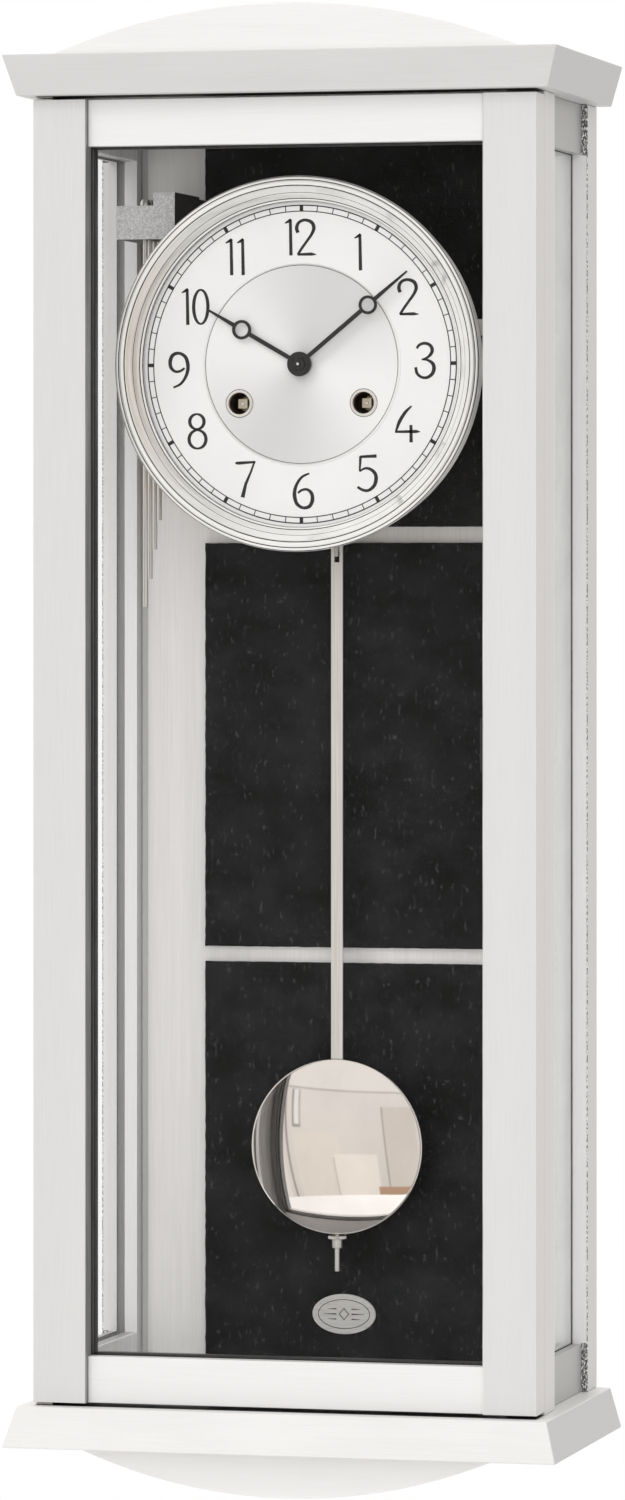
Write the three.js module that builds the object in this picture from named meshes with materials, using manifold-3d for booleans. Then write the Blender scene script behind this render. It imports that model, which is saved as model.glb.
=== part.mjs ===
// A pendulum wall clock: a glazed case with a hinged door, a spring-driven movement behind a round
// dial, a rod gong and a pendulum. Millimetres. X points right as seen from the front, Y points
// into the wall and Z up. The origin lies on the wall, straight behind the centre of the dial.
import * as THREE from 'three';
import { mergeVertices } from 'three/addons/utils/BufferGeometryUtils.js';
import Module from 'manifold-3d';

const wasm = await Module();
wasm.setup();

// Gap left between two fixed neighbours.
const SEAM = 0.1;

// Heights above the lower edge of the base moulding.
const DIAL_HEIGHT = 480.8;
const BASE_TOP = 17.9;
const CORNICE_BOTTOM = 599.7;
const CORNICE_TOP = 617.8;

// Cornice and base moulding: half width and front of the edge at the case and of the wide edge.
const CORNICE_NECK = { halfWidth: 120.8, front: -136.0 };
const CORNICE_LIP = { halfWidth: 126.0, front: -141.2 };
const BASE_NECK = { halfWidth: 120.3, front: -136.5 };
const BASE_LIP = { halfWidth: 125.5, front: -142.7 };

// Curved boards above the cornice and below the base.
const CREST = { halfChord: 108, rise: 21.5, front: -129, thickness: 9 };
const SKIRT = { halfChord: 97, rise: 20.3, front: -127, thickness: 9 };

// Case posts, side rails and side windows.
const POST_INNER = 97.3;
const FRONT_POST = { outer: 114.5, front: -113, back: -92.6 };
const REAR_POST = { outer: 114, front: -20, back: 0 };
const SIDE_RAIL_OUTER = 111;
const SIDE_WINDOW = { bottom: 39.5, top: 577 };
const SIDE_GLASS = { inner: 103.5, outer: 106.5, sunk: 3.7 };

// Back of the case.
const BACK_BOARD_THICKNESS = 12;
const BACK_FACING = { halfWidth: 94, thickness: 1 };
const SLATE = { halfWidth: 66, thickness: 3.7, height: 184.7, bottoms: [25.4, 217.0, 408.9] };
const BADGE = { halfWidth: 14.9, halfHeight: 9.2, thickness: 0.8, height: 50 };
const HANGER = { halfWidth: 30, bottom: 562, top: 594, thickness: 1.5, holeHeight: 572, slotTop: 586 };
const KEYHOLE = { headRadius: 5, shankHalfWidth: 2.6 };
const NAIL_POCKET = { halfWidth: 8, depth: 10, below: 7, above: 4 };

// Door.
const DOOR = { front: -130, back: -113.4, halfWidth: 114.5, bottom: 19.3, top: 598.1 };
const STILE_INNER = 90.2;
const RAIL_FRONT = -127;
const DOOR_WINDOW = { bottom: 40.0, top: 577.3 };
const DOOR_GLASS = { front: -121, back: -118, sunk: 4 };
const GROOVE_SLACK = 0.2;
const HOLE_END_SLACK = 0.4;

// Pivot hinges in the gaps above and below the door's left corner: a leaf on the case carries a pin
// that runs through a leaf on the door and into the stile.
const PIVOT = { x: -112, y: -115.9, radius: 1.2, clearance: 0.08, depth: 6 };
const PIVOT_LEAF = { x: [-114.1, -106.5], y: [-127, -114.2], thickness: 0.5 };
// Half the side of the bar that bevels the stile's corner so that it can turn in front of the post.
const PIVOT_BEVEL = 1.06;

// Magnet catch on the right post, with the plate on the door that it holds.
const CATCH = { x: [85, 97.2], y: [-112.4, -101], z: [300, 324] };
const STRIKE_PLATE = { x: [91, 97], y: [-113.3, -112.7], z: [303, 321] };

// Dial, drum and bezel, measured from the dial's centre.
const DIAL = { radius: 79.5, front: -96.6, back: -95.4 };
const DRUM = { radius: 80.2, wall: 1.4, front: -95.2, back: -85, flangeInner: 66 };
const WINDING = { x: 28.5, z: -17.3, holeRadius: 5.2 };
const CENTRE_HOLE_RADIUS = 3.3;
const BEZEL_PROFILE = [
  [73.0, -97.0],
  [72.6, -98.8],
  [73.1, -100.1],
  [73.8, -100.3],
  [76.0, -102.7],
  [78.9, -106.5],
  [79.3, -107.0],
  [80.8, -107.6],
  [82.6, -107.2],
  [83.4, -106.4],
  [83.6, -105.2],
  [83.2, -104.0],
  [82.0, -103.0],
  [82.0, -93.0],
  [80.6, -93.0],
  [80.6, -97.0],
  [73.0, -97.0],
];
const BEZEL_LUG = {
  foot: { x: [79.3, 83.5], y: [-92.6, -86.6], z: [12.5, 19.5] },
  barrel: { radius: 2, x: 83.2, y: -90.8, z: [12.2, 19.8] },
};

// Hands.
const MINUTE_ANGLE = THREE.MathUtils.degToRad(50.4);
const HOUR_ANGLE = THREE.MathUtils.degToRad(300);
const MINUTE_HAND = { length: 64, ringCentre: 40.8, ringRadius: 4.2, boss: 5.5, front: -101.2, back: -100.4 };
const HOUR_HAND = { length: 49.4, ringCentre: 31.1, ringRadius: 4.35, boss: 5.2, front: -99.4, back: -98.4 };
const HAND_RING_BAND = 1.3;
const HAND_SHAFT = 1.9;
const HAND_TIP = 0.8;
const HAND_NUT = { radius: 3.05, front: -103.2 };
const CENTRE_ARBOR = { radius: 1.5, handHole: 1.7, back: -60 };
const HOUR_PIPE = { radius: 2.9, bore: 1.9, back: -84 };

// Movement, measured from the dial's centre.
const PLATE = { halfWidth: 50, bottom: -53, top: 51, thickness: 2, front: -83, rear: -44 };
const PILLAR = { radius: 3.5, places: [[-44, -46], [44, -46], [-34, 45], [34, 45]] };
const DIAL_FOOT = { radius: 2.5, places: [[-40, 40], [40, 40], [-46, -36], [46, -36]] };
const PLATE_STAND = { radius: 4, places: [[-40, -41], [40, -41], [-40, 42], [40, 42]] };
// How far a post runs into the plate that it is made in one with.
const POST_ROOT = 0.5;
const PLATE_HOLE = { centre: 1.8, winding: 3.3, verge: 1.3 };
// Gap between the end of an arbor and the plate that it turns in.
const END_SHAKE = 0.3;
const BARREL = { radius: 19, front: -76, back: -50, bore: 3.25, rim: 1.5, rimSpan: [-53, -51] };
const WINDING_ARBOR = { squareHalf: 2.1, front: -90.6, shoulder: -84, radius: 3 };
const ESCAPE_WHEEL = { radius: 8, z: 22, span: [-62, -60.5], arborRadius: 0.8 };
const SUSPENSION_Z = 39.2;
const VERGE = { arborRadius: 0.9, back: -34, anchorSpan: [-62, -60.5] };
const ANCHOR_OUTLINE = [
  [-11, 27], [-9.4, 27], [-7.6, 33.6], [0, 36.2], [7.6, 33.6], [9.4, 27], [11, 27],
  [9.2, 36.4], [3, 41.4], [-3, 41.4], [-9.2, 36.4],
];
const CRUTCH = {
  strip: { x: [-1.5, 1.5], y: [-38, -37], z: [-11, 41.7] },
  foot: { x: [-4, 4], y: [-38, -26.5], z: [-11, -9.5] },
  fork: { x: [-1.35, 1.35], y: [-34, -25], z: [-12, -8] },
};
const COCK = {
  base: { x: [-8, 8], y: [-41.9, -38.5], z: [43, 54] },
  leftArm: { x: [-8, -3], y: [-39, -26], z: [43.5, 53.5] },
  rightArm: { x: [3, 8], y: [-39, -26], z: [43.5, 53.5] },
  springBlock: { x: [-3.5, 3.5], y: [-32.5, -28.5], z: [43.2, 53] },
};
const HAMMER = {
  pivotX: -45, pivotZ: 34.2, arborRadius: 1.5, armHalfThickness: 1, planes: [-68, -52],
  headX: -73, headZ: 46.2, headRadius: 3.2, headSpan: [-77.8, -68],
};

// Gong, measured from the dial's centre.
const GONG = {
  left: -92, step: -75, right: -65, bottom: 57.7, shoulder: 72.9, top: 78.8, front: -73, back: -30,
};
const GONG_FOOT = { x: [-84, -66.3], front: -30.5, z: [59, 78] };
const GONG_ROD = {
  x: -80, radius: 1.1, bore: 1.5, ys: [-68, -60, -52, -44], ends: [-108.2, -95.6, -82, -68.8],
};
// Head of a gong rod: radius and height above the shoulder it stands on.
const GONG_ROD_HEAD = [[2.4, 0], [2.4, 1.4], [1.6, 2.8], [0, 3.2]];

// Pendulum, measured from the dial's centre.
const PENDULUM_Y = -30.5;
const SPRING = { halfWidth: 2.4, halfThickness: 0.15, z: [26, 42.6] };
const SPRING_FERRULE = { halfWidth: 2.6, halfThickness: 1.5, z: [20, 26.5] };
const LEADER_WIRE = { radius: 1, z: [-77, 20.5] };
// The hook at the leader's end, as spans in Y from the pendulum's middle and in Z.
const HOOK = {
  halfWidth: 0.9,
  bridge: { y: [-2.7, 0.5], z: [-77.2, -75.5] },
  tongue: { y: [-2.7, -1.5], z: [-85.4, -75.6] },
  toe: { y: [-2.7, 2.4], z: [-85.4, -83.6] },
};
const ROD = { halfWidth: 2.7, halfThickness: 0.75, top: -78, bottom: -386.8 };
const HOOK_SLOT = { halfWidth: 1.2, z: [-88, -83.4] };
const STUD = { radius: 1.15, bottom: -410 };
const BOB = { z: -353.4, radius: 40, halfThickness: 8, rimHalfThickness: 1.8 };
const BOB_SLOT = { halfWidth: 3, halfDepth: 1.25 };
const NUT = { flangeRadius: 3.9, collarRadius: 2.25, top: -393.9, step: -395.4, bottom: -399.5, bore: 1.35 };

// Surface colours, roughness and metalness.
const FINISH = {
  brushedFront: [0xe4e2e1, 0.42, 0.35],
  brushedSide: [0xd9d8da, 0.42, 0.35],
  moulding: [0xdcdad9, 0.4, 0.3],
  back: [0xc4c2c0, 0.4, 0.6],
  slate: [0x212424, 0.6, 0],
  glass: [0xe8f0ee, 0.03, 0],
  silver: [0xe2e2e2, 0.35, 0.6],
  chrome: [0xf0eeea, 0.06, 1],
  steel: [0xb8b6b2, 0.3, 1],
  brass: [0xc9a75a, 0.3, 1],
  cast: [0x8c8b89, 0.75, 0.5],
  black: [0x151515, 0.4, 0.2],
};

function block([x0, x1], [y0, y1], [z0, z1]) {
  const geometry = new THREE.BoxGeometry(x1 - x0, y1 - y0, z1 - z0);
  return geometry.translate((x0 + x1) / 2, (y0 + y1) / 2, (z0 + z1) / 2);
}

function blockOf({ x, y, z }) {
  return block(x, y, z);
}

// The same span on the other side of the clock.
function mirrored([low, high]) {
  return [-high, -low];
}

function rodAlongY(radius, x, z, [y0, y1], sides = 24) {
  const geometry = new THREE.CylinderGeometry(radius, radius, y1 - y0, sides);
  return geometry.translate(x, (y0 + y1) / 2, z);
}

function rodAlongZ(radius, x, y, [z0, z1], sides = 24) {
  const geometry = new THREE.CylinderGeometry(radius, radius, z1 - z0, sides);
  geometry.rotateX(Math.PI / 2);
  return geometry.translate(x, y, (z0 + z1) / 2);
}

function rodAlongX(radius, y, z, [x0, x1], sides = 24) {
  const geometry = new THREE.CylinderGeometry(radius, radius, x1 - x0, sides);
  geometry.rotateZ(Math.PI / 2);
  return geometry.translate((x0 + x1) / 2, y, z);
}

// A flat piece with its outline in X and Z, as thick as the span in Y.
function frontPlate(outline, [y0, y1], curveSegments = 24) {
  const geometry = new THREE.ExtrudeGeometry(outline, { depth: y1 - y0, bevelEnabled: false, curveSegments });
  geometry.rotateX(Math.PI / 2);
  return geometry.translate(0, y1, 0);
}

function polygon(points) {
  return new THREE.Shape(points.map(([x, z]) => new THREE.Vector2(x, z)));
}

// A body of revolution about the Y axis. The profile lists radius and Y, outside wall towards +Y.
function turned(profile, segments) {
  const points = profile.map(([radius, y]) => new THREE.Vector2(radius, y));
  return new THREE.LatheGeometry(points, segments);
}

function toSolid(geometry) {
  const bare = geometry.clone();
  bare.deleteAttribute('normal');
  bare.deleteAttribute('uv');
  const merged = mergeVertices(bare, 1e-4);
  const corners = merged.index.array;
  const kept = [];
  for (let i = 0; i < corners.length; i += 3) {
    const [a, b, c] = [corners[i], corners[i + 1], corners[i + 2]];
    if (a !== b && b !== c && c !== a) kept.push(a, b, c);
  }
  return new wasm.Manifold(new wasm.Mesh({
    numProp: 3,
    vertProperties: merged.attributes.position.array,
    triVerts: new Uint32Array(kept),
  }));
}

function toGeometry(solid) {
  const mesh = solid.getMesh();
  const geometry = new THREE.BufferGeometry();
  geometry.setAttribute('position', new THREE.BufferAttribute(new Float32Array(mesh.vertProperties), 3));
  geometry.setIndex(new THREE.BufferAttribute(new Uint32Array(mesh.triVerts), 1));
  geometry.computeVertexNormals();
  return geometry;
}

function join(first, ...others) {
  return toGeometry(others.reduce((solid, other) => solid.add(toSolid(other)), toSolid(first)));
}

function cut(body, ...tools) {
  return toGeometry(tools.reduce((solid, tool) => solid.subtract(toSolid(tool)), toSolid(body)));
}

function addPart(group, name, geometry, [color, roughness, metalness]) {
  const material = new THREE.MeshStandardMaterial({ color, roughness, metalness });
  if (name.includes('glass')) {
    material.transparent = true;
    material.opacity = 0.25;
  }
  const mesh = new THREE.Mesh(geometry, material);
  mesh.name = name;
  group.add(mesh);
  return mesh;
}

// A slab whose front and ends slope between a lower and an upper edge; its back is flat.
function slopedSlab(lower, upper, [z0, z1]) {
  const geometry = new THREE.BoxGeometry(2, 1, 1);
  const position = geometry.attributes.position;
  for (let i = 0; i < position.count; i += 1) {
    const isTop = position.getZ(i) > 0;
    const edge = isTop ? upper : lower;
    const x = Math.sign(position.getX(i)) * edge.halfWidth;
    const y = position.getY(i) < 0 ? edge.front : 0;
    position.setXYZ(i, x, y, isTop ? z1 : z0);
  }
  geometry.computeVertexNormals();
  return geometry;
}

// A thin board under or over a circular arc. A negative rise curves it downwards.
function arcBoard({ halfChord, rise, front, thickness }, z, direction) {
  const radius = (halfChord ** 2 + rise ** 2) / (2 * rise);
  const steps = 36;
  const points = [[-halfChord, z], [halfChord, z]];
  for (let i = 1; i < steps; i += 1) {
    const x = halfChord - (2 * halfChord * i) / steps;
    const height = Math.sqrt(radius ** 2 - x ** 2) - (radius - rise);
    points.push([x, z + direction * height]);
  }
  return frontPlate(polygon(points), [front, front + thickness]);
}

function buildMouldings(group) {
  const cornice = slopedSlab(CORNICE_NECK, CORNICE_LIP, [CORNICE_BOTTOM, CORNICE_TOP]);
  addPart(group, 'cornice', cornice, FINISH.moulding);
  addPart(group, 'base_moulding', slopedSlab(BASE_LIP, BASE_NECK, [0, BASE_TOP]), FINISH.moulding);
  addPart(group, 'crest_board', arcBoard(CREST, CORNICE_TOP + SEAM, 1), FINISH.brushedFront);
  addPart(group, 'skirt_board', arcBoard(SKIRT, -SEAM, -1), FINISH.brushedFront);
}

// The box that a side window's groove takes out of the posts and rails around it.
function sideGroove(side) {
  const x = [SIDE_GLASS.inner - GROOVE_SLACK, SIDE_GLASS.outer + GROOVE_SLACK];
  const reach = SIDE_GLASS.sunk + GROOVE_SLACK;
  const y = [FRONT_POST.back - reach, REAR_POST.front + reach];
  const low = SIDE_WINDOW.bottom - SIDE_GLASS.sunk - GROOVE_SLACK;
  const high = SIDE_WINDOW.top + SIDE_GLASS.sunk + GROOVE_SLACK;
  return block(side > 0 ? x : mirrored(x), y, [low, high]);
}

function buildCaseSide(group, side) {
  const suffix = side > 0 ? 'right' : 'left';
  const place = (span) => (side > 0 ? span : mirrored(span));
  const groove = sideGroove(side);
  const height = [BASE_TOP + SEAM, CORNICE_BOTTOM - SEAM];

  const frontPost = block(place([POST_INNER, FRONT_POST.outer]), [FRONT_POST.front, FRONT_POST.back], height);
  addPart(group, `front_post_${suffix}`, cut(frontPost, groove), FINISH.brushedSide);
  const rearPost = block(place([POST_INNER, REAR_POST.outer]), [REAR_POST.front, REAR_POST.back], height);
  addPart(group, `rear_post_${suffix}`, cut(rearPost, groove), FINISH.brushedSide);

  const railX = place([POST_INNER, SIDE_RAIL_OUTER]);
  const railY = [FRONT_POST.back + SEAM, REAR_POST.front - SEAM];
  const topRail = block(railX, railY, [SIDE_WINDOW.top, CORNICE_BOTTOM - SEAM]);
  addPart(group, `side_rail_top_${suffix}`, cut(topRail, groove), FINISH.brushedSide);
  const bottomRail = block(railX, railY, [BASE_TOP + SEAM, SIDE_WINDOW.bottom]);
  addPart(group, `side_rail_bottom_${suffix}`, cut(bottomRail, groove), FINISH.brushedSide);

  const glassY = [FRONT_POST.back - SIDE_GLASS.sunk, REAR_POST.front + SIDE_GLASS.sunk];
  const glassZ = [SIDE_WINDOW.bottom - SIDE_GLASS.sunk, SIDE_WINDOW.top + SIDE_GLASS.sunk];
  const glass = block(place([SIDE_GLASS.inner, SIDE_GLASS.outer]), glassY, glassZ);
  addPart(group, `side_glass_${suffix}`, glass, FINISH.glass);
}

// A round hole with a narrow slot above it, for a nail's head and shank.
function keyholeCutter() {
  const through = [-HANGER.thickness - 1, 1];
  const round = rodAlongY(KEYHOLE.headRadius, 0, HANGER.holeHeight, through, 32);
  const half = KEYHOLE.shankHalfWidth;
  return join(round, block([-half, half], through, [HANGER.holeHeight, HANGER.slotTop]));
}

function buildBack(group) {
  const boardX = POST_INNER - SEAM;
  const boardZ = [BASE_TOP + SEAM, CORNICE_BOTTOM - SEAM];
  const board = block(bothWays(boardX), [-BACK_BOARD_THICKNESS, 0], boardZ);
  const rebateZ = [HANGER.bottom, HANGER.top];
  const rebate = block(bothWays(HANGER.halfWidth), [-HANGER.thickness - SEAM, 1], rebateZ);
  const pocketZ = [HANGER.holeHeight - NAIL_POCKET.below, HANGER.slotTop + NAIL_POCKET.above];
  const nailPocket = block(bothWays(NAIL_POCKET.halfWidth), [-NAIL_POCKET.depth, 1], pocketZ);
  addPart(group, 'back_board', cut(board, rebate, nailPocket), FINISH.back);

  const plateX = HANGER.halfWidth - GROOVE_SLACK;
  const plateZ = [HANGER.bottom + GROOVE_SLACK, HANGER.top - GROOVE_SLACK];
  const plate = block([-plateX, plateX], [-HANGER.thickness, 0], plateZ);
  addPart(group, 'hanger_plate', cut(plate, keyholeCutter()), FINISH.steel);

  const facingBack = -BACK_BOARD_THICKNESS - SEAM;
  const facingFront = facingBack - BACK_FACING.thickness;
  const facingX = [-BACK_FACING.halfWidth, BACK_FACING.halfWidth];
  const facing = block(facingX, [facingFront, facingBack], [BASE_TOP + SEAM, CORNICE_BOTTOM - SEAM]);
  addPart(group, 'back_facing', facing, FINISH.back);

  const slateBack = facingFront - SEAM;
  const slateFront = slateBack - SLATE.thickness;
  ['slate_bottom', 'slate_middle', 'slate_top'].forEach((name, row) => {
    const bottom = SLATE.bottoms[row];
    const slateX = [-SLATE.halfWidth, SLATE.halfWidth];
    const slab = block(slateX, [slateFront, slateBack], [bottom, bottom + SLATE.height]);
    addPart(group, name, slab, FINISH.slate);
  });

  const oval = new THREE.Shape();
  oval.absellipse(0, BADGE.height, BADGE.halfWidth, BADGE.halfHeight, 0, 2 * Math.PI);
  const badgeBack = slateFront - SEAM;
  addPart(group, 'badge', frontPlate(oval, [badgeBack - BADGE.thickness, badgeBack], 20), FINISH.silver);
}

function pivotPin(radius, span) {
  return rodAlongZ(radius, PIVOT.x, PIVOT.y, span, 16);
}

// Towards is 1 for the hinge above the door and -1 for the one below it.
function buildPivotHinge(caseGroup, doorGroup, name, doorEdge, caseEdge, towards) {
  const inOrder = (near, far) => [near, far].sort((a, b) => a - b);
  const doorNear = doorEdge + towards * SEAM;
  const doorSpan = inOrder(doorNear, doorNear + towards * PIVOT_LEAF.thickness);
  const caseNear = caseEdge - towards * SEAM;
  const caseFar = caseNear - towards * PIVOT_LEAF.thickness;
  const pin = pivotPin(PIVOT.radius, inOrder(doorEdge - towards * PIVOT.depth, caseFar + towards * SEAM));
  const caseLeaf = block(PIVOT_LEAF.x, PIVOT_LEAF.y, inOrder(caseNear, caseFar));
  addPart(caseGroup, `hinge_case_leaf_${name}`, join(caseLeaf, pin), FINISH.steel);
  const hole = pivotPin(PIVOT.radius + PIVOT.clearance, [doorSpan[0] - 1, doorSpan[1] + 1]);
  const doorLeaf = block(PIVOT_LEAF.x, PIVOT_LEAF.y, doorSpan);
  addPart(doorGroup, `hinge_door_leaf_${name}`, cut(doorLeaf, hole), FINISH.steel);
}

// What the hinges take out of the left stile: a bore at each end and a bevel down its back corner.
function stileHingeCuts() {
  const radius = PIVOT.radius + PIVOT.clearance;
  const depth = PIVOT.depth + HOLE_END_SLACK;
  const bevelZ = [DOOR.bottom - 1, DOOR.top + 1];
  const bevel = block(bothWays(PIVOT_BEVEL), bothWays(PIVOT_BEVEL), bevelZ);
  bevel.rotateZ(Math.PI / 4);
  return [
    pivotPin(radius, [DOOR.bottom - 1, DOOR.bottom + depth]),
    pivotPin(radius, [DOOR.top - depth, DOOR.top + 1]),
    bevel.translate(-DOOR.halfWidth, DOOR.back, 0),
  ];
}

function buildDoor(group) {
  const slot = DOOR_GLASS.sunk + GROOVE_SLACK;
  const grooveX = [-STILE_INNER - slot, STILE_INNER + slot];
  const grooveY = [DOOR_GLASS.front - GROOVE_SLACK, DOOR_GLASS.back + GROOVE_SLACK];
  const groove = block(grooveX, grooveY, [DOOR_WINDOW.bottom - slot, DOOR_WINDOW.top + slot]);

  const stileX = [STILE_INNER, DOOR.halfWidth];
  const stileSpan = { left: mirrored(stileX), right: stileX };
  const stileCuts = { left: [groove, ...stileHingeCuts()], right: [groove] };
  for (const [side, span] of Object.entries(stileSpan)) {
    const stile = block(span, [DOOR.front, DOOR.back], [DOOR.bottom, DOOR.top]);
    addPart(group, `door_stile_${side}`, cut(stile, ...stileCuts[side]), FINISH.brushedFront);
  }

  const railX = [-STILE_INNER + SEAM, STILE_INNER - SEAM];
  const railSpan = { bottom: [DOOR.bottom, DOOR_WINDOW.bottom], top: [DOOR_WINDOW.top, DOOR.top] };
  for (const [place, span] of Object.entries(railSpan)) {
    const rail = block(railX, [RAIL_FRONT, DOOR.back], span);
    addPart(group, `door_rail_${place}`, cut(rail, groove), FINISH.brushedFront);
  }

  const glassX = [-STILE_INNER - DOOR_GLASS.sunk, STILE_INNER + DOOR_GLASS.sunk];
  const glassZ = [DOOR_WINDOW.bottom - DOOR_GLASS.sunk, DOOR_WINDOW.top + DOOR_GLASS.sunk];
  addPart(group, 'door_glass', block(glassX, [DOOR_GLASS.front, DOOR_GLASS.back], glassZ), FINISH.glass);
  addPart(group, 'strike_plate', blockOf(STRIKE_PLATE), FINISH.steel);
}

function buildMagnetCatch(group) {
  addPart(group, 'magnet_catch', blockOf(CATCH), FINISH.black);
}

function buildDial(group) {
  const disc = rodAlongY(DIAL.radius, 0, 0, [DIAL.front, DIAL.back], 60);
  const through = [DIAL.front - 1, DIAL.back + 1];
  const centreHole = rodAlongY(CENTRE_HOLE_RADIUS, 0, 0, through);
  const holes = [-WINDING.x, WINDING.x].map((x) => rodAlongY(WINDING.holeRadius, x, WINDING.z, through, 32));
  addPart(group, 'dial_plate', cut(disc, centreHole, ...holes), FINISH.silver);

  const inner = DRUM.radius - DRUM.wall;
  const drumProfile = [
    [inner, DRUM.front],
    [DRUM.radius, DRUM.front],
    [DRUM.radius, DRUM.back],
    [DRUM.flangeInner, DRUM.back],
    [DRUM.flangeInner, DRUM.back - 1],
    [inner, DRUM.back - 1],
    [inner, DRUM.front],
  ];
  addPart(group, 'dial_drum', turned(drumProfile, 60), FINISH.steel);
}

// A pressed ring: an outer bead, a crest, and a funnel that runs in to the edge of the dial.
function buildBezel(group) {
  addPart(group, 'bezel', turned(BEZEL_PROFILE, 60), FINISH.chrome);
  const { foot, barrel } = BEZEL_LUG;
  const lug = join(blockOf(foot), rodAlongZ(barrel.radius, barrel.x, barrel.y, barrel.z, 16));
  addPart(group, 'bezel_lug', lug, FINISH.chrome);
}

// A hand with a ring near its tip, drawn pointing to twelve.
function handOutline(hand) {
  const { length, ringCentre, ringRadius, boss, front, back } = hand;
  const y = [front, back];
  const shaftEnd = ringCentre - ringRadius + HAND_RING_BAND / 2;
  const needleStart = ringCentre + ringRadius - HAND_RING_BAND / 2;
  const shaft = frontPlate(polygon([
    [-HAND_SHAFT / 2, 0], [HAND_SHAFT / 2, 0], [HAND_SHAFT / 2, shaftEnd], [-HAND_SHAFT / 2, shaftEnd],
  ]), y);
  const needle = frontPlate(polygon([
    [-HAND_SHAFT / 2, needleStart], [HAND_SHAFT / 2, needleStart],
    [HAND_TIP / 2, length], [-HAND_TIP / 2, length],
  ]), y);
  const ring = rodAlongY(ringRadius, 0, ringCentre, y, 32);
  const eye = rodAlongY(ringRadius - HAND_RING_BAND, 0, ringCentre, [front - 1, back + 1], 32);
  return cut(join(rodAlongY(boss, 0, 0, y, 32), shaft, ring, needle), eye);
}

function buildHands(group) {
  const through = [MINUTE_HAND.front - 1, MINUTE_HAND.back + 1];
  const minute = cut(handOutline(MINUTE_HAND), rodAlongY(CENTRE_ARBOR.handHole, 0, 0, through));
  addPart(group, 'minute_hand', minute, FINISH.black).rotation.y = MINUTE_ANGLE;
  const nut = rodAlongY(HAND_NUT.radius, 0, 0, [HAND_NUT.front, MINUTE_HAND.front - SEAM], 24);
  addPart(group, 'hand_nut', nut, FINISH.black);
  const arbor = rodAlongY(CENTRE_ARBOR.radius, 0, 0, [MINUTE_HAND.front, CENTRE_ARBOR.back], 20);
  addPart(group, 'centre_arbor', arbor, FINISH.brass);

  const pipe = rodAlongY(HOUR_PIPE.radius, 0, 0, [HOUR_HAND.front, HOUR_PIPE.back], 24);
  const pipeBore = rodAlongY(HOUR_PIPE.bore, 0, 0, [HOUR_HAND.front - 1, HOUR_PIPE.back + 1], 24);
  const hour = cut(join(handOutline(HOUR_HAND), pipe), pipeBore);
  addPart(group, 'hour_hand', hour, FINISH.black).rotation.y = HOUR_ANGLE;
}

function postsAlongY({ radius, places }, span) {
  return places.map(([x, z]) => rodAlongY(radius, x, z, span, 16));
}

function buildMovementFrame(group) {
  const plateX = [-PLATE.halfWidth, PLATE.halfWidth];
  const plateZ = [PLATE.bottom, PLATE.top];
  const frontSpan = [PLATE.front, PLATE.front + PLATE.thickness];
  const rearSpan = [PLATE.rear, PLATE.rear + PLATE.thickness];

  const pillars = postsAlongY(PILLAR, [frontSpan[0] + POST_ROOT, PLATE.rear - SEAM]);
  const feet = postsAlongY(DIAL_FOOT, [DIAL.back + SEAM, frontSpan[1] - POST_ROOT]);
  const frontBody = join(block(plateX, frontSpan, plateZ), ...pillars, ...feet);
  const frontCut = [frontSpan[0] - 1, frontSpan[1] + 1];
  const frontHoles = [
    rodAlongY(PLATE_HOLE.centre, 0, 0, frontCut),
    rodAlongY(PLATE_HOLE.winding, -WINDING.x, WINDING.z, frontCut),
    rodAlongY(PLATE_HOLE.winding, WINDING.x, WINDING.z, frontCut),
  ];
  addPart(group, 'movement_front_plate', cut(frontBody, ...frontHoles), FINISH.brass);

  const slateFront = -BACK_BOARD_THICKNESS - BACK_FACING.thickness - SLATE.thickness - 3 * SEAM;
  const stands = postsAlongY(PLATE_STAND, [rearSpan[1] - POST_ROOT, slateFront]);
  const rearBody = join(block(plateX, rearSpan, plateZ), ...stands);
  const vergeHole = rodAlongY(PLATE_HOLE.verge, 0, SUSPENSION_Z, [rearSpan[0] - 1, rearSpan[1] + 1]);
  addPart(group, 'movement_rear_plate', cut(rearBody, vergeHole), FINISH.brass);
}

function buildTrain(group) {
  const sides = { strike: -WINDING.x, time: WINDING.x };
  const arborBack = PLATE.rear - END_SHAKE;
  for (const [name, x] of Object.entries(sides)) {
    const drum = rodAlongY(BARREL.radius, x, WINDING.z, [BARREL.front, BARREL.back], 40);
    const rim = rodAlongY(BARREL.radius + BARREL.rim, x, WINDING.z, BARREL.rimSpan, 40);
    const bore = rodAlongY(BARREL.bore, x, WINDING.z, [BARREL.front - 1, BARREL.back + 1]);
    addPart(group, `${name}_barrel`, cut(join(drum, rim), bore), FINISH.brass);

    const half = WINDING_ARBOR.squareHalf;
    const squareSpan = [WINDING_ARBOR.front, WINDING_ARBOR.shoulder];
    const square = block([x - half, x + half], squareSpan, [WINDING.z - half, WINDING.z + half]);
    const roundSpan = [WINDING_ARBOR.shoulder - SEAM, arborBack];
    const round = rodAlongY(WINDING_ARBOR.radius, x, WINDING.z, roundSpan);
    addPart(group, `${name}_winding_arbor`, join(square, round), FINISH.steel);
  }

  const { radius, z, span, arborRadius } = ESCAPE_WHEEL;
  const wheelArborFront = PLATE.front + PLATE.thickness + END_SHAKE;
  const wheelArbor = rodAlongY(arborRadius, 0, z, [wheelArborFront, arborBack], 12);
  addPart(group, 'escape_wheel', join(rodAlongY(radius, 0, z, span, 30), wheelArbor), FINISH.brass);
}

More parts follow.
